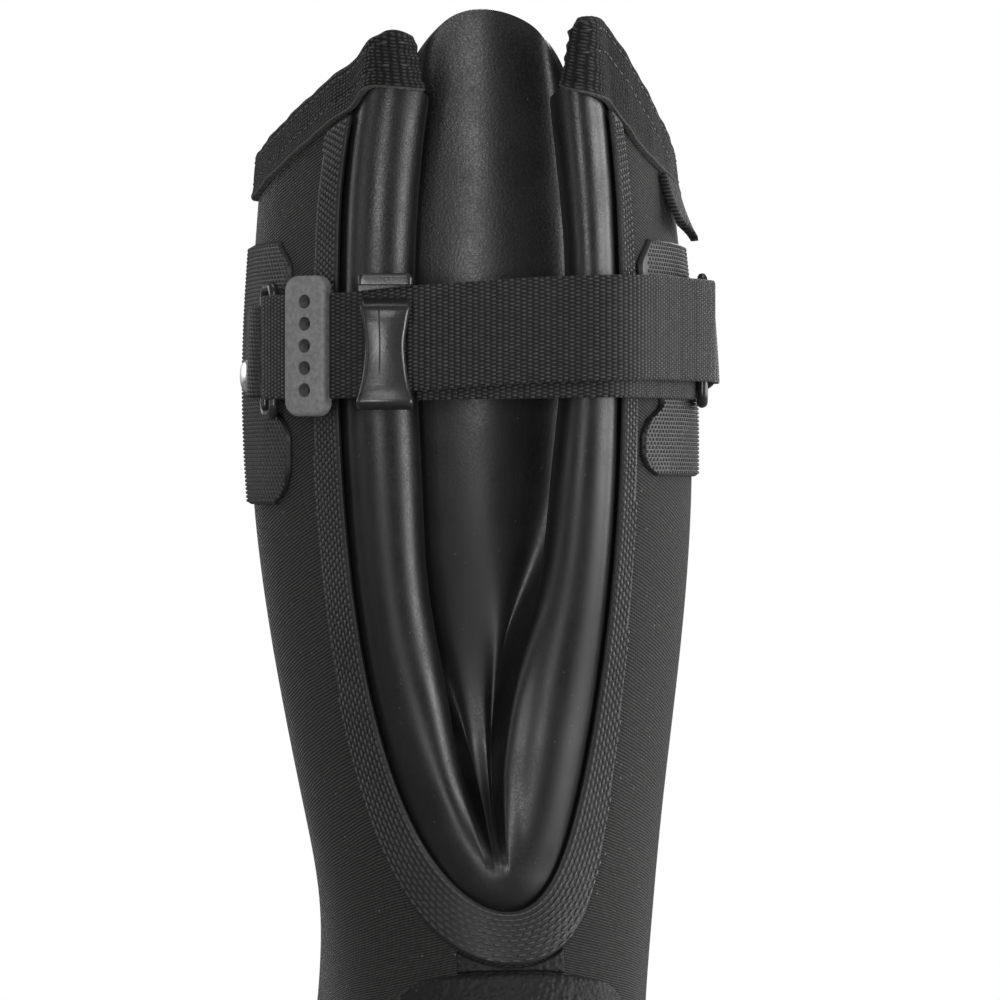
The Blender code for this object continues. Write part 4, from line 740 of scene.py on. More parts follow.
satin_rubber, shader, place = rubber("satin_rubber", (0.007, 0.007, 0.0073), 0.38, 0.15)
height = node(place, "SeparateXYZ", {0: place})[2]
high_up = node(place, "MapRange", {"Value": height, "From Min": 0.24, "From Max": 0.31, "To Min": 0.2})[0]
bloom = maths("MULTIPLY", blotches(place, 1500.0, detail=2.0), high_up)
relief(shader, bloom, 0.05, 0.5)
floor = THROAT_FLOOR - GUSSET_LAP
levels = floor + (THROAT_RISE + GUSSET_LAP) * (1 - np.cos(GUSSET_ROW_ANGLES))
levels = np.concatenate([levels, np.linspace(levels[-1], GUSSET_TOP, 34)[1:]])
folds = gusset_section(levels)
knots = chord_knots(gusset_section(np.array([KNOT_HEIGHT]))[0])
across = spline_at(knots, np.moveaxis(folds, 1, 0), np.linspace(0, knots[-1], GUSSET_COLUMNS))
middle = np.moveaxis(across.reshape(GUSSET_COLUMNS, len(levels), 3), 0, 1)
half_sheet = grid_normals(middle) * SHEET / 2
gusset = add_piece("gusset_sheet", *shell(middle + half_sheet, middle - half_sheet), satin_rubber)
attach(gusset, "root")
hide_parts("gusset")

# Trim: a rubber band moulded with rows of small raised pips, cemented round the throat over the
# gusset's edge.  It is broad at the throat's floor and narrows up both sides.
TRIM_WIDTHS = {"inner": 4.8, "outer": 9.5}
TRIM_FLOOR_WIDTH = 13.0
TRIM_FADE = 60.0
TRIM_BASE = 1.15
TRIM_RIM = (0.55, 0.9)
BINDING_HEIGHT = 12.2
BINDING_EXTRA = 8.0
EXTRA_ANGLES = (80.0, 45.0)
PIP_ROW = 1.25
PIP_LONG = 2.4
PIP_SHORT = 1.55
PIP_FADE = 190.0
PIP_HALF = (0.5, 0.27)
PIP_RISE = 0.45
PIP_RINGS = np.array([(1.0, -0.1), (0.92, 0.45), (0.6, 0.9), (0.0, 1.05)])
PIP_SIDES = 8
PIP_START = 0.6
PIP_FIRST = 0.9
PIP_MARGIN = 0.6


def binding_height(angle):
    """Height of the binding's side, which grows by a smooth step to the inner corner."""
    none, full = EXTRA_ANGLES
    inner = np.mod(angle, 360) < 180
    return BINDING_HEIGHT + BINDING_EXTRA * inner * smooth((np.mod(angle, 360) - none) / (full - none))


def trim_side(side, way, across):
    """Arcs and heights of one side of the band, from the floor up, for shares across it.

    The inner edge follows the throat's ellipse and its straight part, and the width is laid off
    square to it; the straight part's rows end under the binding.
    """
    turn = np.radians(np.linspace(0, 90, 220))
    z = THROAT_FLOOR + THROAT_RISE * (1 - np.cos(turn))
    normal = unit(np.stack([way * THROAT_RISE * np.sin(turn), -THROAT_HALF * np.cos(turn)], -1))
    width = TRIM_WIDTHS[side]
    widths = width + (TRIM_FLOOR_WIDTH - width) * np.exp(-(z - THROAT_FLOOR) / TRIM_FADE)
    reach = widths[:, None] * across
    edge = way * THROAT_HALF * np.sin(turn) + throat_centre(z)
    arcs = edge[:, None] + reach * normal[:, :1]
    heights = z[:, None] + reach * normal[:, 1:]
    top_angle, _ = wrap(arcs[-1], heights[-1])
    top = collar_height(top_angle) - binding_height(top_angle) - 2 * CLEARANCE
    part = np.linspace(0, 1, 60)[1:, None]
    straight_z = heights[-1] + part * (top - heights[-1])
    inset = throat_half(straight_z[:, :1]) - THROAT_HALF
    drift = throat_centre(straight_z[:, :1]) - throat_centre(z[-1])
    straight_arcs = arcs[-1] + drift + way * inset
    return np.vstack([arcs, straight_arcs]), np.vstack([heights, straight_z])


def pick(grid, station, column):
    """Bilinear reading of a grid at fractional rows and columns."""
    i = np.clip(station.astype(int), 0, grid.shape[0] - 2)
    k = np.clip(column.astype(int), 0, grid.shape[1] - 2)
    f = (station - i)[..., None]
    g = (column - k)[..., None]
    low = (1 - g) * grid[i, k] + g * grid[i, k + 1]
    high = (1 - g) * grid[i + 1, k] + g * grid[i + 1, k + 1]
    return (1 - f) * low + f * high

def heading(grid, station, column):
    """Unit direction along the rows of a grid at a place on it."""
    return unit(pick(grid, station + 0.5, column) - pick(grid, station - 0.5, column))


def domes(centres, along, outward, half_along, half_across, rise, rings, sides):
    """Small mounds, one for each centre: rings of points that close over the top."""
    angle = np.arange(sides + 1) * 2 * math.pi / sides
    reach_along = (along * np.reshape(half_along, (-1, 1)))[:, None, None]
    reach_across = (np.cross(outward, along) * half_across)[:, None, None]
    points = centres[:, None, None] + rings[None, :, 1, None, None] * (outward * rise)[:, None, None]
    points = points + (np.cos(angle) * rings[:, :1])[None, ..., None] * reach_along
    points = points + (np.sin(angle) * rings[:, :1])[None, ..., None] * reach_across
    cell, index = grid_quads(len(rings), sides + 1)
    faces = cell[None] + np.arange(len(centres))[:, None, None] * index.size
    return points.reshape(-1, 3), faces.reshape(-1, 4)


def joined(meshes):
    """One mesh of several: the points run on, and each one's faces count from its own start."""
    starts = np.cumsum([0] + [len(points) for points, _ in meshes[:-1]])
    faces = [faces + start for (_, faces), start in zip(meshes, starts)]
    return np.concatenate([points for points, _ in meshes]), np.concatenate(faces)


band_rubber, shader, place = rubber("band_rubber", 0.007, 0.55, 0.15)
grain(shader, place, 1200.0, 0.1)
# The pips are moulded of the band's rubber but coloured far lighter: painted highlight on the raised
# pips.
pip_painted_highlight_rubber = rubber("pip_painted_highlight_rubber", 0.043, 0.42, 0.1)[0]
shares = np.linspace(0, 1, 25)
outer_side = trim_side("outer", -1.0, shares)
inner_side = trim_side("inner", 1.0, shares)
arcs, heights = (np.vstack([one[:0:-1], other]) for one, other in zip(outer_side, inner_side))
seat = back_point(arcs, heights, CLEARANCE)
outward = unit(back_point(arcs, heights, 1.0 + CLEARANCE) - seat)
from_edge = run_across(seat)
width = from_edge[:, -1:]
thick = edge_thickness(TRIM_BASE, *TRIM_RIM, np.minimum(from_edge, width - from_edge))
trim = add_piece("trim_band", *shell(seat + outward * thick[..., None], seat), band_rubber)
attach(trim, "root")
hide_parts("gusset_trim")

run = chord_knots(seat[:, len(shares) // 2])
floor_run = run[len(outer_side[0]) - 1]
pitch = PIP_LONG + (PIP_SHORT - PIP_LONG) * smooth(np.abs(run - floor_run) / PIP_FADE)
count = np.concatenate([[0.0], np.cumsum(np.diff(run) / ((pitch[1:] + pitch[:-1]) / 2))])
numbers = np.arange(len(run))
pip_parts = []
for row in range(int(TRIM_FLOOR_WIDTH / PIP_ROW) + 1):
    place = np.arange(PIP_START + 0.5 * (row % 2), count[-1] - 0.5)
    station = np.interp(place, count, numbers)
    reach = PIP_FIRST + row * PIP_ROW
    band_width = np.interp(station, numbers, width[:, 0])
    keep = reach < band_width - PIP_MARGIN
    station = station[keep]
    column = reach / band_width[keep] * (len(shares) - 1)
    spot = pick(seat + outward * TRIM_BASE, station, column)
    out = unit(pick(outward, station, column))
    long_half = PIP_HALF[0] * np.interp(station, numbers, pitch)
    pip_parts.append(domes(spot, heading(seat, station, column), out, long_half, PIP_HALF[1] * PIP_ROW,
                           PIP_RISE, PIP_RINGS, PIP_SIDES))
pips = add_piece("trim_pips", *joined(pip_parts), pip_painted_highlight_rubber)
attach(pips, "root")

# Heel strip: a thin piece of the counter's grained rubber in the neck between the trim's lower
# edge and the counter's crown.
STRIP_HALF = 13.4
STRIP_THICK = 1.0
STRIP_RIM = (0.4, 0.9)
STRIP_GAP = 0.5


def layer(arcs, heights, thick):
    """Closed layer of the given thickness that lies just over the shaft."""
    return shell(back_point(arcs, heights, CLEARANCE + thick), back_point(arcs, heights, CLEARANCE))


strip_arcs = np.linspace(-STRIP_HALF, STRIP_HALF, 49)
order = np.argsort(arcs[:, -1])
strip_top = np.interp(strip_arcs, arcs[order, -1], heights[order, -1]) - STRIP_GAP
strip_angle, _ = wrap(strip_arcs, strip_top)
crown = last_point(strip_angle, counter_top(strip_angle / COUNTER_HALF))[:, 2] + STRIP_GAP
strip_z = crown + (strip_top - crown) * np.linspace(0, 1, 24)[:, None]
end_gap = np.minimum(strip_z - crown, strip_top - strip_z)
edge_gap = np.minimum(STRIP_HALF - np.abs(strip_arcs), end_gap)
thick = edge_thickness(STRIP_THICK, *STRIP_RIM, edge_gap)
strip = add_piece("neck_strip", *layer(strip_arcs, strip_z, thick), grain_rubber)
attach(strip, "root")
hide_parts("heel_strip")

# Collar binding: an elastic knit tape folded over the wall's edge and sewn through with two rows
# of thread; its ends run on over the tops of the gusset's rolls in two peaked corners.
BINDING_THICK = 1.3
CORNER_POINTS = (4, 3, 2)
CORNER_TOPS = {"inner": (359.5, 362.0, 362.6), "outer": (357.8, 359.0, 357.8)}
CORNER_BOTTOMS = {"inner": (345.5, 344.0, 343.0), "outer": (344.4, 344.8, 345.2)}
CORNER_WRAP = 0.6
CORNER_LEAN = 2.4 * np.array([[1.0], [0.6], [0.0]])
CORNER_GAP = 0.9
BINDING_START = 1.4
BINDING_SPRING = 1.1
BINDING_SHARP = 50.0
BINDING_STEPS = 460
WALL_POINTS = 61
SELVAGE = 0.6
SELVAGE_RISE = 0.35
SELVAGE_AT = 0.8
SELVAGE_HALF = 0.7
WRINKLE_RISE = 0.35
WRINKLE_PITCH = 3.1
WRINKLE_REACH = 11.0
WRINKLE_SLANT = 0.12
RIPPLE_RISE = 0.12
RIPPLE_PITCHES = (17.0, 7.3)
RIPPLE_SHARE = 0.6
RIPPLE_SHIFT = 1.0
SEAM_DIP = 0.22
SEAM_HALF = 0.6
LOOP_WIDE = 1.15
LOOP_TALL = 0.85
STITCH_DEPTHS = (3.0, 8.4)
STITCH_PITCH = 2.7
STITCH_MARGIN = 3.0
STITCH_HALF = 1.0
STITCH_RADIUS = 0.3
STITCH_RINGS = np.array([(1.0, -0.6), (0.95, 0.4), (0.7, 0.85), (0.3, 1.0), (0.0, 1.0)])
STITCH_SIDES = 8
fold_row = gusset_section(np.array([GUSSET_TOP]))[0]
end_arcs = throat_centre(CORNER_Z) + (throat_half(CORNER_Z) + BINDING_START) * np.array([1, -1])
end_angles, _ = wrap(end_arcs, CORNER_Z)
angles = np.linspace(end_angles[0], end_angles[1] + 360, WALL_POINTS)
wall_high = face_point(angles, collar_level(angles), -WALL / 2)
wall_tall = binding_height(angles)
wall_low = face_point(angles, collar_level(angles, wall_tall), -WALL / 2)
inner_end = fold_row[[k + 1 for k in CORNER_POINTS]]
outer_end = fold_row[[-k - 2 for k in reversed(CORNER_POINTS)]]
outer_end[-1] += CORNER_WRAP * (fold_row[-CORNER_POINTS[0] - 3] - outer_end[-1])
inner_high = inner_end + CORNER_LEAN * unit(inner_end[1] - inner_end[0])
outer_high = outer_end + CORNER_LEAN[::-1] * unit(outer_end[1] - outer_end[2])
wall_tops = collar_height(angles)
corner_slot = np.full(3, SHEET / 2 + CORNER_GAP)
control = np.column_stack([
    np.vstack([inner_high, wall_high, outer_high])[:, :2],
    np.vstack([inner_end, wall_low, outer_end])[:, :2],
    np.concatenate([CORNER_TOPS["inner"], wall_tops, CORNER_TOPS["outer"][::-1]]),
    np.concatenate([CORNER_BOTTOMS["inner"], wall_tops - wall_tall, CORNER_BOTTOMS["outer"][::-1]]),
    np.concatenate([corner_slot, np.full(WALL_POINTS, WALL / 2 + CLEARANCE), corner_slot])])
knots = chord_knots(control[:, 2:4])
stations = np.linspace(0, knots[-1], BINDING_STEPS)
path = spline_at(knots, control, stations)
high, low = path[:, :2], path[:, 2:4]
top, bottom, slot = path[:, 4], path[:, 5], path[:, 6]
tangent = unit(np.gradient(high, axis=0))
outward = np.stack([tangent[:, 1], -tangent[:, 0]], -1)
leg = np.linspace(0, 1, 22)
arch = np.radians(np.linspace(0, 180, 13))[1:-1]
rise = np.concatenate([leg, np.ones(len(arch)), leg[::-1]])
lean = np.concatenate([np.ones(len(leg)), np.cos(arch), -np.ones(len(leg))])
bow = np.concatenate([np.zeros(len(leg)), np.sin(arch), np.zeros(len(leg))])
half = (slot + BINDING_THICK / 2)[:, None]
spring = np.minimum(BINDING_SPRING, half)
tall = (top - bottom)[:, None] - spring - BINDING_THICK / 2
level_path = low[:, None] + (high - low)[:, None] * rise[:, None]
plan_points = level_path + (half * lean)[..., None] * outward[:, None]
binding_z = bottom[:, None] + tall * rise + spring * bow
middle = np.concatenate([plan_points, binding_z[..., None]], -1)
down_side = run_across(middle)
coords = np.stack([stations[:, None] + 0 * down_side, down_side], -1)
corner_near = np.exp(-np.minimum(stations, stations[-1] - stations) / WRINKLE_REACH)[:, None]
tape_edges = (down_side, down_side[:, -1:] - down_side)
selvage = sum(np.exp(-((gap - SELVAGE_AT) / SELVAGE_HALF)**2) for gap in tape_edges)
wrinkle = np.sin(down_side * 2 * math.pi / WRINKLE_PITCH + WRINKLE_SLANT * stations[:, None])
long_wave, short_wave = (stations * 2 * math.pi / pitch for pitch in RIPPLE_PITCHES)
ripple = np.sin(long_wave) + RIPPLE_SHARE * np.sin(short_wave + RIPPLE_SHIFT)
from_top = tall + spring + BINDING_THICK / 2 - down_side
seams = sum(np.exp(-((from_top - depth) / SEAM_HALF)**2) for depth in STITCH_DEPTHS)
swell = (SELVAGE_RISE * selvage + WRINKLE_RISE * corner_near * wrinkle + RIPPLE_RISE * ripple[:, None]
         - SEAM_DIP * seams)
normal = -grid_normals(middle)
face_out = middle + normal * (BINDING_THICK / 2 + swell)[..., None]
face_in = middle - normal * BINDING_THICK / 2
tape, shader = new_finish("binding_tape", 0.03, 0.85, Sheen_Weight=0.08, Specular_IOR_Level=0.12)
along, across, uv = surface_coords(shader)
wobble = blotches(uv, 0.5, -1.0, 1.0)
columns = stripes(maths("MULTIPLY_ADD", wobble, 0.2, along), LOOP_WIDE)
rows = stripes(maths("MULTIPLY_ADD", wobble, 0.15, across), LOOP_TALL)
loops = maths("MULTIPLY", columns, rows)
yarn = mix_colours(blotches(uv, 1.4), 0.03, (0.085, 0.085, 0.083))
# Near black between the loops: painted shade in the hollows of the knit, under the yarn's own random
# tone.
woven = mix_colours(loops, 0.008, yarn)
edge_line = maths("LESS_THAN", across, SELVAGE)
feed(shader, "Base Color", mix_colours(edge_line, woven, (0.07, 0.07, 0.068)))
relief(shader, loops, 0.5, 0.9)
binding = add_piece("binding_tape", *shell(face_out, face_in), tape, coords, BINDING_SHARP)
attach(binding, "root")
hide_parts("collar_binding")

sewing = new_finish("sewing_thread", 0.05, 0.6)[0]
starts = np.arange(STITCH_MARGIN, stations[-1] - STITCH_MARGIN, STITCH_PITCH)
leg_step = down_side[:, len(leg) - 1] / (len(leg) - 1)
row = starts / stations[-1] * (len(stations) - 1)
stitch_parts = []
for depth in STITCH_DEPTHS:
    column = np.interp(row, np.arange(len(stations)), (from_top[:, 0] - depth) / leg_step)
    spot = pick(face_out, row, column)
    out = unit(pick(normal, row, column))
    stitch_parts.append(domes(spot, heading(face_out, row, column), out, STITCH_HALF, STITCH_RADIUS,
                              STITCH_RADIUS, STITCH_RINGS, STITCH_SIDES))
stitches = add_piece("binding_stitches", *joined(stitch_parts), sewing)
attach(stitches, "root")

# Anchor patches: two pieces of thin rubber moulded with staggered rows of bumps, cemented to the
# sides of the shaft.  The edge towards the throat steps back where the strap passes.
PATCH_THICK = 1.2
PATCH_RIM = (0.35, 1.0)
PATCH_ARCS = {"outer": (-65.5, -118.0), "inner": (43.8, 112.0)}
PATCH_ROWS = np.array([
    # height, notch, tail
    (245.0, 9.0, 8.0), (248.0, 2.5, 3.0), (253.0, 0.0, 0.0), (262.0, 0.0, 0.0), (266.0, 3.5, 0.0),
    (269.0, 11.5, 0.0), (283.0, 12.5, 0.0), (290.0, 10.5, 0.0), (293.5, 3.5, 0.0),
    (297.0, 1.2, 0.0), (304.0, 1.2, 0.0), (310.0, 9.0, 8.0)])
PATCH_LOBE = 262.0
PATCH_LOW = {"outer": 245.0, "inner": 252.0}
PATCH_ROW = 1.0
PATCH_PITCH = 1.9
PATCH_SLANT = 0.14
BUMP_HALF = 0.5
BUMP_RISE = 0.4
BUMP_EDGE = 0.15
BUMP_RINGS = np.array([(1.0, -0.3), (0.75, 0.7), (0.0, 1.0)])
BUMP_SIDES = 6
smooth_patch = rubber("patch_rubber", 0.012, 0.5, 0.1)[0]
# The bumps are moulded of the patch's rubber but coloured far lighter: painted highlight on the bumps
# against the darker patch between them.
bump_painted_highlight_rubber, shader, _ = rubber("bump_painted_highlight_rubber", 0.05, 0.55, 0.1)
shader.inputs["Specular IOR Level"].default_value = 0.2
patch_z = np.linspace(PATCH_ROWS[0, 0], PATCH_ROWS[-1, 0], 110)
share = np.linspace(0, 1, 90)
kernel = np.hanning(9) / np.hanning(9).sum()
notch, tail = (np.interp(patch_z, PATCH_ROWS[:, 0], values) for values in PATCH_ROWS.T[1:])
notch, tail = (np.convolve(np.pad(values, 4, mode="edge"), kernel, mode="valid")[:, None]
               for values in (notch, tail))
for side, node_name in (("outer", "patch_outer"), ("inner", "patch_inner")):
    near, far = PATCH_ARCS[side]
    away = math.copysign(1.0, far)
    start = near + away * notch
    end = far - away * tail
    patch_arcs = start + (end - start) * share
    squeeze = (PATCH_LOBE - PATCH_LOW[side]) / (PATCH_LOBE - PATCH_ROWS[0, 0])
    lobe = PATCH_LOBE + (patch_z - PATCH_LOBE) * squeeze
    patch_up = np.where(patch_z < PATCH_LOBE, lobe, patch_z)
    low, high = patch_up[0], patch_up[-1]
    heights = patch_up[:, None]
    edge_gap = np.minimum(np.minimum(share, 1 - share) * np.abs(end - start),
                          np.minimum(heights - low, high - heights))
    thick = edge_thickness(PATCH_THICK, *PATCH_RIM, edge_gap)
    patch = add_piece("anchor_" + node_name, *layer(patch_arcs, heights, thick), smooth_patch)
    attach(patch, "root")
    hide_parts(node_name)
    bump_rows = np.arange(low, high, PATCH_ROW)
    bump_columns = np.arange(min(near, far), max(near, far), PATCH_PITCH)
    bump_z, bump_arc = np.meshgrid(bump_rows, bump_columns, indexing="ij")
    stagger = PATCH_PITCH / 2 * (np.arange(len(bump_rows)) % 2)[:, None]
    bump_arc = bump_arc + stagger + PATCH_SLANT * (bump_z - PATCH_LOBE)
    nearest = np.interp(bump_z, patch_up, start[:, 0])
    farthest = np.interp(bump_z, patch_up, end[:, 0])
    room = np.minimum(away * (bump_arc - nearest), away * (farthest - bump_arc))
    room = np.minimum(room, np.minimum(bump_z - low, high - bump_z))
    spots = np.stack([bump_arc, bump_z], -1)[room > BUMP_EDGE].T
    spot = back_point(*spots, CLEARANCE + PATCH_THICK)
    out = unit(back_point(*spots, CLEARANCE + PATCH_THICK + 1.0) - spot)
    level_way = unit(np.cross((0.0, 0.0, 1.0), out))
    made = domes(spot, level_way, out, BUMP_HALF, BUMP_HALF, BUMP_RISE, BUMP_RINGS, BUMP_SIDES)
    patch_bumps = add_piece("bumps_" + node_name, *made, bump_painted_highlight_rubber)
    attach(patch_bumps, "root")

# Strap: a band of woven webbing that runs from the buckle over both rolls, round the inner ring's
# bar, and back through the buckle to its moulded tip.  A short base band holds the outer ring.
WEB_THICK = 1.5
WEB_RIM = (0.35, 0.9)
WEB_HALF = 12.7
WEB_RIB = 1.45
WEB_BEAD = 0.95
WEB_RIB_RISE = 0.16
WEB_RIB_DROP = 0.12
WEB_SHARP = 60.0
WEB_STEP = 0.3
STRAP_Z = 283.0
LAYER_STEP = 3.0
SPREAD_RUN = 25.0
BAR_RADIUS = 1.3
BAR_TURN = BAR_RADIUS + CLEARANCE + WEB_THICK / 2
BAR_ARCS = {"outer": -65.5, "inner": 78.0}
INNER_LAYER_Z = 283.1
INNER_LAYER_TILT = 0.015
FRONT_LAYER_X = (-41.0, -24.0, 4.0, 34.0, 60.0)
FRONT_LAYER_Z = (283.2, 285.0, 286.9, 287.9, 288.2)
TRIM_THICK = 1.6
ROLL_EASE = 1.0
CREST_EASE = 0.7
PATCH_EASE = 0.8
TRIM_EASES = (0.2, 0.8)
OUTER_STOPS = (-58.5, -52.0, -46.0)
INNER_STOPS = (39.5, 48.0, 64.0)
FRAME_ON_ROLL = 0.45
FRAME_CLEAR = 7.1
TIP_ARC = -44.6
TIP_LENGTH = 11.6
TIP_BOW = 1.2
BASE_GAP = 1.5


def plan(arc, offset):
    """Level position over the shaft at the strap's height."""
    return back_point(arc, STRAP_Z, offset)[:2]


def strap_route():
    """Middle line of the layer next to the boot, from the outer ring to the inner one: a spline
    through stand-off points over the patches, the trim and the crests of the rolls."""
    row = gusset_section(np.array([STRAP_Z]))[0, :, :2]
    stand_off = SHEET / 2 + CLEARANCE + WEB_THICK / 2
    chord = unit(row[1] - row[-2])
    out = np.array([chord[1], -chord[0]])
    rest = CLEARANCE + PATCH_THICK + PATCH_EASE + WEB_THICK / 2
    over_trim = CLEARANCE + TRIM_THICK + CLEARANCE + WEB_THICK / 2
    depths = FOLD[:, FOLD_COLUMNS.index("depth")]
    crest = out * (stand_off + CREST_EASE)
    past_crest = crest + out * (depths[CREST_ROW] - depths[CREST_ROW + 1])
    before_crest = out * (stand_off + ROLL_EASE)
    points = np.array([
        plan(BAR_ARCS["outer"], rest), plan(OUTER_STOPS[0], rest),
        plan(OUTER_STOPS[1], over_trim + TRIM_EASES[0]), plan(OUTER_STOPS[2], over_trim + TRIM_EASES[1]),
        row[-CREST_ROW - 1] + before_crest - chord, row[-CREST_ROW - 2] + crest,
        row[-CREST_ROW - 3] + past_crest, row[CREST_ROW + 2] + past_crest, row[CREST_ROW + 1] + crest,
        row[CREST_ROW] + before_crest + chord, plan(INNER_STOPS[0], over_trim + TRIM_EASES[1]),
        plan(INNER_STOPS[1], over_trim), plan(INNER_STOPS[2], rest), plan(BAR_ARCS["inner"], rest)])
    knots = chord_knots(points)
    return spline_at(knots, points, np.linspace(0, knots[-1], 700)), row


def level_directions(path):
    """Unit tangents of a level path and the directions out of the boot beside them."""
    tangent = unit(np.gradient(path, axis=0))
    return tangent, np.stack([tangent[:, 1], -tangent[:, 0]], -1)


ROUTE, FOLD_AT_STRAP = strap_route()
ROUTE_TANGENT, ROUTE_OUT = level_directions(ROUTE)
ROUTE_RUN = chord_knots(ROUTE)


def on_route(distances, out=0.0):
    """Level positions at distances along the route, moved out from it."""
    at = [np.interp(distances, ROUTE_RUN, values) for values in (*ROUTE.T, *ROUTE_OUT.T)]
    return np.stack(at[:2], -1) + np.asarray(out)[..., None] * np.stack(at[2:], -1)


def distance_at(point):
    """Distance along the route of the place closest to a level position."""
    return ROUTE_RUN[np.argmin(np.linalg.norm(ROUTE - point, axis=1))]


FRAME_AT = distance_at((1 - FRAME_ON_ROLL) * FOLD_AT_STRAP[-CREST_ROW - 2]
                       + FRAME_ON_ROLL * FOLD_AT_STRAP[-CREST_ROW - 3])
TIP_AT = distance_at(plan(TIP_ARC, PATCH_THICK))
BARS = {"outer": ROUTE[0] + ROUTE_OUT[0] * BAR_TURN, "inner": ROUTE[-1] + ROUTE_OUT[-1] * BAR_TURN}


def web_height(x, front):
    """Height of the webbing's middle, which climbs to the inner side, front layer higher."""
    inner_layer = INNER_LAYER_Z + INNER_LAYER_TILT * x
    front_layer = np.interp(x, FRONT_LAYER_X, FRONT_LAYER_Z)
    return inner_layer + (front_layer - inner_layer) * front


def layer_spread(from_bar):
    """Distance between the two layers, which widens over the last stretch before a ring's bar."""
    return LAYER_STEP + (2 * BAR_TURN - LAYER_STEP) * smooth(1 - from_bar / SPREAD_RUN)


def bar_turn(bar, tangent, outward):
    """Half turn of the webbing round a ring's bar, from the inner layer to the outer."""
    angle = np.linspace(0, math.pi, 31)[1:-1, None]
    return bar + BAR_TURN * (np.sin(angle) * tangent - np.cos(angle) * outward)


def web(path, middle):
    """Upright ribbed band along a level path: ribs across its length are rounded ridges, and its
    two edges thin down to a selvage."""
    knots = chord_knots(path)
    run = np.arange(0, knots[-1], WEB_STEP)
    path = np.stack([np.interp(run, knots, values) for values in path.T], -1)
    middle = np.interp(run, knots, middle)
    _, outward = level_directions(path)
    share = np.sin(np.radians(np.linspace(-90, 90, 29)))
    rib = WEB_RIB_RISE * np.sqrt(np.abs(np.sin(math.pi * run / WEB_RIB)))[:, None]
    half = edge_thickness(WEB_THICK / 2 - WEB_RIB_DROP + rib, *WEB_RIM, WEB_HALF * (1 - np.abs(share)))
    up = middle[:, None] + WEB_HALF * share
    faces = []
    for way in (1, -1):
        level = path[:, None] + (way * half)[..., None] * outward[:, None]
        faces.append(np.concatenate([level, up[..., None]], -1))
    return *shell(*faces), np.stack([run[:, None] + 0 * up, WEB_HALF * share + 0 * up], -1)


webbing, shader = new_finish("woven_webbing", 0.04, 0.6, Sheen_Weight=0.05, Specular_IOR_Level=0.25)
along, across, uv = surface_coords(shader)
rib_number = maths("FLOOR", maths("MULTIPLY", along, 1 / WEB_RIB))
parity = maths("MULTIPLY_ADD", maths("FLOORED_MODULO", rib_number, 2.0), 2.0, -1.0)
beads = stripes(maths("MULTIPLY_ADD", parity, WEB_BEAD / 4, across), WEB_BEAD)
valley = maths("ABSOLUTE", maths("SINE", maths("MULTIPLY", along, math.pi / WEB_RIB)))
weave = maths("MULTIPLY", beads, valley)
yarn = mix_colours(blotches(uv, 0.4), 0.045, 0.085)
# Near black in the valleys between the beads: painted shade; the yarn's own tone wanders at random.
feed(shader, "Base Color", mix_colours(weave, 0.004, yarn))
relief(shader, weave, 0.4, 0.8)
end = ROUTE_RUN[-1]
inner_layer = np.linspace(FRAME_AT + FRAME_CLEAR, end, 300)
front_layer = np.linspace(end, TIP_AT + TIP_LENGTH / 2 - 1.0, 400)
turn = bar_turn(BARS["inner"], ROUTE_TANGENT[-1], ROUTE_OUT[-1])
front_path = on_route(front_layer, layer_spread(end - front_layer))
path = np.concatenate([on_route(inner_layer), turn, front_path])
front = np.concatenate([0 * inner_layer, np.linspace(0, 1, len(turn)), np.ones(len(front_layer))])
made = web(path, web_height(path[:, 0], front))
strap = add_piece("webbing_strap", *made[:2], webbing, made[2], WEB_SHARP)
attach(strap, "root")
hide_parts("strap")

base_layer = np.linspace(FRAME_AT - FRAME_CLEAR, 0.0, 160)
base_end = np.linspace(0.0, TIP_AT - TIP_LENGTH / 2 - TIP_BOW - BASE_GAP, 60)
turn = bar_turn(BARS["outer"], -ROUTE_TANGENT[0], ROUTE_OUT[0])
path = np.concatenate([on_route(base_layer), turn, on_route(base_end, layer_spread(base_end))])
made = web(path, np.full(len(path), web_height(on_route(FRAME_AT)[0], 0.5)))
strap_base = add_piece("webbing_base", *made[:2], webbing, made[2], WEB_SHARP)
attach(strap_base, "root")
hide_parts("strap_base")

# Rings, keepers and rivets: at each end of the strap a moulded plastic loop lies along the shaft;
# a rubber keeper hooks over its far bar and is riveted down behind it.
FAR_BAR_OFFSET = 3.6
RING_HALF = (4.5, 15.6)
RING_CORNER = 2.5
TAB_HEIGHT = 22.0
TAB_THICK = 1.2
TAB_RIM = (0.4, 0.8)
TAB_STEPS = 70
PROBE_ARCS = np.arange(-130.0, 130.0, 0.25)
TAB_SEAT = 2.4
TAB_ROUTE = np.array([
    # arc past the bar, share of the climb over it
    (16.0, 0.0), (9.5, 0.0), (6.0, 0.12), (4.2, 0.55), (2.2, 1.05), (-2.2, 1.05), (-4.2, 0.6),
    (-4.4, 0.0)])
RIVET_RADIUS = 4.0
RIVET_PAST_BAR = 13.0
RIVET_Z = 277.0
RIVET_RINGS = np.array([(0.0, 0.0), (1.0, 0.0), (1.0, 0.3), (0.96, 0.55), (0.82, 0.95), (0.58, 1.22),
                        (0.3, 1.37), (0.0, 1.4)])


def rounded_rectangle(half_x, half_y, radius, steps=8):
    """Outline with an arc at each corner, counterclockwise and closed."""
    angle = np.radians(np.linspace(0, 90, steps)) + np.arange(4)[:, None] * math.pi / 2
    corners = np.array([(1, 1), (-1, 1), (-1, -1), (1, -1)]) * (half_x - radius, half_y - radius)
    arcs = corners[:, None] + radius * np.stack([np.cos(angle), np.sin(angle)], -1)
    outline = arcs.reshape(-1, 2)
    return np.concatenate([outline, outline[:1]])


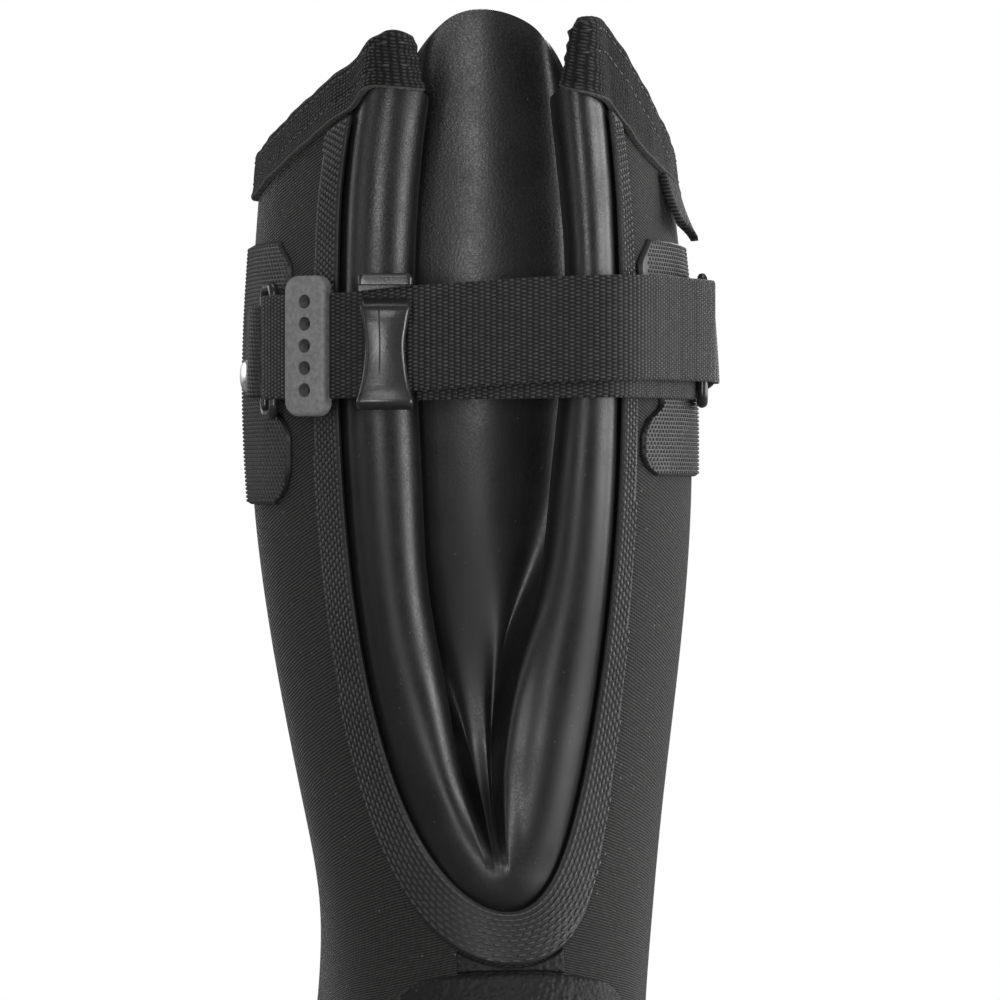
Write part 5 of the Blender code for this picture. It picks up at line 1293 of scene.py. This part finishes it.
def placed(points, origin, tangent, outward):
    """Local points (along, up, out) set at an origin, with a level tangent and outward axis."""
    up = np.array([0.0, 0.0, 1.0])
    return origin + points[..., :1] * tangent + points[..., 1:2] * up + points[..., 2:] * outward


bumped_rubber, shader = new_finish("bumped_rubber", 0.02, 0.5)
along, across, _ = surface_coords(shader)
slant = maths("MULTIPLY_ADD", across, PATCH_SLANT, along)
bumps = maths("MULTIPLY", stripes(slant, PATCH_ROW), stripes(across, PATCH_ROW))
# Darker between the bumps and lighter on their tops: painted shade and painted highlight.
feed(shader, "Base Color", mix_colours(bumps, 0.012, 0.03))
relief(shader, bumps, 0.35, 0.9)
plastic, shader = new_finish("black_plastic", (0.024, 0.024, 0.025), 0.4)
place = object_coords(shader)
grain(shader, place, 1600.0, 0.02, 0.6)
feed(shader, "Roughness", blotches(place, 200.0, 0.2, 0.32))
rivet_metal, shader = new_finish("rivet_metal", (0.85, 0.85, 0.84), 0.3, Metallic=1.0)
feed(shader, "Roughness", blotches(object_coords(shader), 500.0, 0.22, 0.45))
for side in ("outer", "inner"):
    bar = BARS[side]
    past = math.copysign(2 * RING_HALF[0], BAR_ARCS[side])
    away = unit(plan(BAR_ARCS[side] + past, FAR_BAR_OFFSET) - bar)
    outward = np.array([away[1], -away[0]]) * math.copysign(1.0, past)
    height = web_height(bar[0], 0.5)
    axes = np.array([*away, 0.0]), np.array([*outward, 0.0])
    outline = rounded_rectangle(*RING_HALF, RING_CORNER)
    ahead = unit(np.roll(outline[:-1], -1, axis=0) - np.roll(outline[:-1], 1, axis=0))
    ahead = np.concatenate([ahead, ahead[:1]])
    side_way = np.stack([ahead[:, 1], -ahead[:, 0]], -1)
    angle = np.linspace(0, 2 * math.pi, 17)
    flat = outline[:, None] + BAR_RADIUS * np.cos(angle)[None, :, None] * side_way[:, None]
    out = np.broadcast_to(BAR_RADIUS * np.sin(angle)[:, None], flat.shape[:2] + (1,))
    centre = np.array([*(bar + away * RING_HALF[0]), height])
    tube = placed(np.concatenate([flat, out], -1), centre, *axes)
    ring = add_grid(f"loop_{side}", tube, plastic)
    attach(ring, "root")
    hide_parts(f"ring_{side}")

    far_bar = bar + 2 * RING_HALF[0] * away
    gaps = np.linalg.norm(back_point(PROBE_ARCS, STRAP_Z)[:, :2] - far_bar, axis=1)
    bar_arc = PROBE_ARCS[np.argmin(gaps)]
    climb = gaps.min() + BAR_RADIUS + 3 * CLEARANCE + TAB_THICK / 2 - TAB_SEAT
    keeper = np.column_stack([TAB_ROUTE[:, 0], TAB_SEAT + climb * TAB_ROUTE[:, 1]])
    keeper = spline_at(chord_knots(keeper), keeper, np.linspace(0, chord_knots(keeper)[-1], TAB_STEPS))
    ahead = unit(np.gradient(keeper, axis=0))
    lift = np.stack([-ahead[:, 1], ahead[:, 0]], -1)
    share = np.sin(np.radians(np.linspace(-90, 90, 31)))
    half_thick = edge_thickness(TAB_THICK / 2, *TAB_RIM, TAB_HEIGHT / 2 * (1 - np.abs(share)))
    level = height + TAB_HEIGHT / 2 * share + np.zeros((TAB_STEPS, 1))
    faces_two = []
    for way in (1, -1):
        spots = keeper[:, None] + (way * half_thick)[None, :, None] * lift[:, None]
        tab_arcs = bar_arc + math.copysign(1.0, past) * spots[..., 0]
        faces_two.append(back_point(tab_arcs, level, spots[..., 1]))
    coords = np.stack([chord_knots(keeper)[:, None] + 0 * level, level], -1)
    tab = add_piece(f"keeper_{side}", *shell(*faces_two), bumped_rubber, coords)
    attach(tab, "root")
    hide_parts(f"tab_{side}")

    arc = BAR_ARCS[side] + math.copysign(2 * RING_HALF[0] + RIVET_PAST_BAR, past)
    seat_out = TAB_SEAT + TAB_THICK / 2 + CLEARANCE
    spots = [back_point(arc + step, RIVET_Z, seat_out + lift_by)
             for step, lift_by in ((0, 0), (1, 0), (0, 1))]
    angle = np.linspace(0, 2 * math.pi, 33)
    radius = RIVET_RADIUS * RIVET_RINGS[:, :1]
    dome = np.stack([radius * np.cos(angle), radius * np.sin(angle), RIVET_RINGS[:, 1:] + 0 * angle], -1)
    dome = placed(dome, spots[0], unit(spots[1] - spots[0]), spots[2] - spots[0])
    rivet = add_grid(f"rivet_head_{side}", dome, rivet_metal)
    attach(rivet, "root")
    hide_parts(f"rivet_{side}")

# Buckle: a moulded plastic frame threaded on the strap over the outer roll, and the cam lever
# snapped on its face, which pinches the webbing when it lies down as it does here.
FRAME_SIZE = (13.0, 32.4, 8.0)
FRAME_SLOT = (20.0, 27.0, 9.0)
FRAME_BACK = 1.2
FRAME_STAND = 0.4
FRAME_CORNER = 1.2
FRAME_EDGE = 0.9
SLOT_CORNER = 0.5
CUT_EDGE = 0.01
LEVER_ROWS = np.array([
    # height, half width, foot, face
    (-16.6, 6.4, 8.3, 9.8), (-15.6, 6.8, 8.3, 11.4), (-13.3, 6.5, 8.3, 11.7),
    (-10.2, 5.7, 4.7, 11.2), (-5.0, 5.0, 4.7, 10.7), (-0.5, 4.8, 4.7, 10.5), (3.5, 5.3, 4.7, 10.3),
    (6.5, 5.8, 4.7, 9.9), (8.8, 6.1, 4.7, 8.6), (10.2, 5.8, 4.7, 6.6)])
LEVER_CROWN = 0.7
LEVER_EDGE = 1.2
LEVER_ROUND = 1.0
PARTING = -0.24
PARTING_HALF = 0.018
PARTING_COLUMNS = np.linspace(-0.04, 0.04, 9)
PARTING_DEPTH = 0.12
PARTING_TOP = 8.5
PARTING_FOOT = -9.0
PARTING_FADES = (1.5, 4.0)


def route_axes(distance, out):
    """Origin and the along and outward axes of a piece threaded on the front layer."""
    place = on_route(distance)
    ahead = unit(on_route(distance + 1.0) - on_route(distance - 1.0))
    outward = np.array([ahead[1], -ahead[0], 0.0])
    middle = np.array([*place, web_height(place[0], 1.0)])
    return middle + out * outward, np.array([*ahead, 0.0]), outward


def plate(outline, inner, outer, edge):
    """Solid with a flat outline whose upper and lower edges are rounded: rings that step in."""
    turn = np.radians(np.linspace(0, 90, 5))
    centre = outline[:-1].mean(axis=0)
    span = np.abs(outline - centre).max(axis=0)
    steps = [(1 - edge * (1 - np.sin(a)), inner + edge * (1 - np.cos(a))) for a in turn]
    steps += [(1 - edge * (1 - np.cos(a)), outer - edge * (1 - np.sin(a))) for a in turn]
    rings = []
    for shrink, out in [(None, inner)] + steps + [(None, outer)]:
        ring = centre + (outline - centre) * (0 if shrink is None else 1 - (1 - shrink) / span)
        rings.append(np.column_stack([ring, np.full(len(ring), out)]))
    return np.array(rings)


axes = route_axes(FRAME_AT, FRAME_STAND - WEB_THICK / 2)
outline = rounded_rectangle(FRAME_SIZE[0] / 2, FRAME_SIZE[1] / 2, FRAME_CORNER)
body = plate(outline, 0.0, FRAME_SIZE[2], FRAME_EDGE)
buckle_frame = add_grid("buckle_body", placed(body, *axes), plastic)
outline = rounded_rectangle(FRAME_SLOT[0] / 2, FRAME_SLOT[1] / 2, SLOT_CORNER)
slot = plate(outline, FRAME_BACK, FRAME_BACK + FRAME_SLOT[2], CUT_EDGE)
cut_away(buckle_frame, [placed(slot, *axes)], plastic)
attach(buckle_frame, "root")
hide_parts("buckle_frame")

lever_up = np.linspace(LEVER_ROWS[0, 0], LEVER_ROWS[-1, 0], 110)
lever_row = spline_at(LEVER_ROWS[:, 0], LEVER_ROWS[:, 1:], lever_up)
wide, face_out = lever_row[:, :1], lever_row[:, 2:]
share = np.sin(np.radians(np.linspace(-90, 90, 49)))
share = np.sort(np.concatenate([share, PARTING + PARTING_COLUMNS]))
across = wide * share
up = lever_up[:, None] + 0 * across
foot = np.interp(lever_up, LEVER_ROWS[:, 0], LEVER_ROWS[:, 2])[:, None] + 0 * across
rim = rounded_edge(wide * (1 - np.abs(share)), LEVER_ROUND)
seam = smooth((PARTING_TOP - up) / PARTING_FADES[0]) * smooth((up - PARTING_FOOT) / PARTING_FADES[1])
groove = PARTING_DEPTH * np.exp(-((share - PARTING) / PARTING_HALF)**2) * seam
face = face_out - LEVER_CROWN * share**2 - LEVER_EDGE * (1 - rim) - groove
outer, inner = (placed(np.stack([across, up, out], -1), *axes) for out in (face, foot))
lever = add_piece("cam_lever", *shell(outer, inner), plastic)
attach(lever, "root")
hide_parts("buckle_lever")

# Strap tip: a stiff grey-black plastic plate moulded on the strap's end, with rounded edges, one
# bowed side and five round holes.
TIP_SIZE = (TIP_LENGTH, 34.0, 4.0)
TIP_CORNER = 3.2
TIP_TURN = math.radians(22)
TIP_SHIFT = 1.0
TIP_EDGE = 1.1
HOLES = 5
HOLE_RADIUS = 1.7
HOLE_PITCH = 5.35
grey_plastic, shader = new_finish("tip_plastic", 0.19, 0.55)
place = object_coords(shader)
mottle = blotches(place, 900.0, detail=6.0)
mottled = mix_colours(mottle, (0.14, 0.14, 0.143), (0.23, 0.23, 0.235))
feed(shader, "Base Color", mottled)
grain(shader, place, 2200.0, 0.1, 0.6)
origin, along, outward = route_axes(TIP_AT, LAYER_STEP + CLEARANCE)
turned = math.cos(TIP_TURN) * along - math.sin(TIP_TURN) * outward
axes = (origin + TIP_LENGTH / 2 * (along - turned) + TIP_SHIFT * along, turned,
        math.cos(TIP_TURN) * outward + math.sin(TIP_TURN) * along)
outline = rounded_rectangle(TIP_SIZE[0] / 2, TIP_SIZE[1] / 2, TIP_CORNER, 12)
bow = TIP_BOW * (1 - (2 * outline[:, 1] / TIP_SIZE[1])**2)
outline[:, 0] -= np.where(outline[:, 0] < 0, bow, 0.0)
thick = TIP_SIZE[2]
tip = add_grid("tip_plate", placed(plate(outline, -thick / 2, thick / 2, TIP_EDGE), *axes), grey_plastic)
angle = np.linspace(0, 2 * math.pi, 29)
circle = HOLE_RADIUS * np.column_stack([np.cos(angle), np.sin(angle)])
rows = (np.arange(HOLES) - (HOLES - 1) / 2) * HOLE_PITCH
drills = [placed(plate(circle + [0.0, row], -thick, thick, CUT_EDGE), *axes) for row in rows]
cut_away(tip, drills, grey_plastic)
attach(tip, "root")
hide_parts("strap_tip")

# Pull tab: a short length of folded black webbing, sewn under the binding on the inner side, with
# its cut end hanging free.
PULL_ARCS = (67.0, 85.0)
PULL_DROP = 13.0
PULL_FLARE = 3.4
PULL_CURL = 1.5
PULL_THICK = 2.0
PULL_ROUNDS = (0.8, 1.2)
PULL_RIB = 0.14
FRAY_RISE = 0.5
FRAY_PITCH = 1.1
FRAY_POWER = 6
down = np.linspace(1, 0, 60)[:, None]
pull_arcs = np.linspace(*PULL_ARCS, 76)
pull_angle, _ = wrap(pull_arcs, np.full_like(pull_arcs, COLLAR_SIDE - BINDING_HEIGHT))
pull_top = collar_height(pull_angle) - binding_height(pull_angle) - 2 * CLEARANCE
heights = pull_top - PULL_DROP * down
heights = heights + down**FRAY_POWER * FRAY_RISE * np.sin(pull_arcs * 2 * math.pi / FRAY_PITCH)
stand = CLEARANCE + PULL_FLARE * down**PULL_CURL
rib = PULL_RIB * np.abs(np.sin(pull_arcs * math.pi / WEB_RIB))
edge_gap = np.minimum(pull_arcs - PULL_ARCS[0], PULL_ARCS[1] - pull_arcs)
fold = rounded_edge(edge_gap, PULL_ROUNDS[0]) * rounded_edge(pull_top - heights, PULL_ROUNDS[1])
half = PULL_THICK / 2
outer = back_point(pull_arcs, heights, stand + half + (half - PULL_RIB + rib) * fold)
inner = back_point(pull_arcs, heights, stand + half * (1 - fold))
coords = np.stack([pull_arcs + 0 * heights, heights], -1)
pull = add_piece("pull_tape", *shell(outer, inner), webbing, coords, WEB_SHARP)
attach(pull, "root")
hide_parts("pull_tab")

# Floor and light: a plain grey floor under the boot and a white backdrop, lit by soft panels that
# stay out of the picture: the strongest on the inner side and at the toe, weaker ones behind the
# heel, on the outer side and above.
FLOOR_RADIUS = 1.2
angle = np.linspace(0, 2 * math.pi, 97)[:-1]
floor_mesh = bpy.data.meshes.new("floor")
edge = FLOOR_RADIUS * np.column_stack([np.cos(angle), np.sin(angle), 0 * angle])
floor_mesh.from_pydata(edge.tolist(), [], [list(range(len(edge)))])
floor_paint, shader = new_finish("floor_paint", 0.16, 0.7)
grain(shader, object_coords(shader), 300.0, 0.05, 0.3)
floor_mesh.materials.append(floor_paint)
studio_floor = bpy.data.objects.new("floor", floor_mesh)
bpy.context.scene.collection.objects.link(studio_floor)
FILL = 0.12
world = bpy.data.worlds.new("studio")
world.use_nodes = True
backdrop = world.node_tree.nodes["Background"]
seen = node(backdrop, "LightPath", {})["Is Camera Ray"]
feed(backdrop, "Strength", maths("MULTIPLY_ADD", seen, 1.0 - FILL, FILL))
backdrop.inputs["Color"].default_value = (1.0, 1.0, 1.0, 1.0)
bpy.context.scene.world = world
bpy.context.scene.view_settings.view_transform = "Standard"
LOOK_AT = Vector((0.0, -0.12, 0.25))
LIGHTS = (
    # name, place, size, watts
    ("key", (-0.4, -1.35, 0.26), (0.4, 0.44), 6.2),
    ("front_top", (-0.2, -1.2, 0.9), (0.5, 0.4), 3.0),
    ("left_side", (-1.2, -0.5, 0.36), (0.4, 0.7), 1.6),
    ("left_front", (-1.1, 0.9, 0.6), (0.8, 0.6), 4.0),
    ("right_side", (1.25, -0.5, 0.34), (0.8, 0.66), 13.0),
    ("right_low", (0.62, -0.4, 0.11), (0.5, 0.2), 0.7),
    ("right_rim", (1.25, 0.45, 0.36), (0.9, 0.7), 8.0),
    ("overhead", (0.0, 0.1, 1.5), (0.9, 0.9), 4.0),
    ("toe_side", (0.5, 1.5, 0.7), (1.0, 0.7), 12.0))
for name, place, size, watts in LIGHTS:
    lamp = bpy.data.lights.new(name, "AREA")
    lamp.shape = "RECTANGLE"
    lamp.size, lamp.size_y = size
    lamp.energy = watts
    holder = bpy.data.objects.new(name, lamp)
    holder.location = place
    holder.visible_camera = False
    holder.rotation_euler = (LOOK_AT - Vector(place)).to_track_quat("-Z", "Y").to_euler()
    bpy.context.scene.collection.objects.link(holder)

# Camera: level, behind the boot and a little to one side, far off with a long lens, so that the
# shaft fills the picture and the foot lies below it.
CAMERA_TURN = math.radians(-5.5)
CAMERA_TARGET = np.array((-3.0, 10.0, 246.0))
CAMERA_DISTANCE = 1300.0
CAMERA_LENS = 194.2
CAMERA_SHIFT = -0.005
ahead = np.array((-math.sin(CAMERA_TURN), math.cos(CAMERA_TURN), 0.0))
right = np.array((math.cos(CAMERA_TURN), math.sin(CAMERA_TURN), 0.0))
eye = (CAMERA_TARGET - ahead * CAMERA_DISTANCE + SEAT) / 1000
lens = bpy.data.cameras.new("photo_view")
lens.sensor_width = 36.0
lens.lens = CAMERA_LENS
lens.shift_x = CAMERA_SHIFT
camera = bpy.data.objects.new("photo_view", lens)
camera.matrix_world = Matrix(((right[0], 0, -ahead[0], eye[0]), (right[1], 0, -ahead[1], eye[1]),
                              (0, 1, 0, eye[2]), (0, 0, 0, 1)))
bpy.context.scene.collection.objects.link(camera)
bpy.context.scene.camera = camera
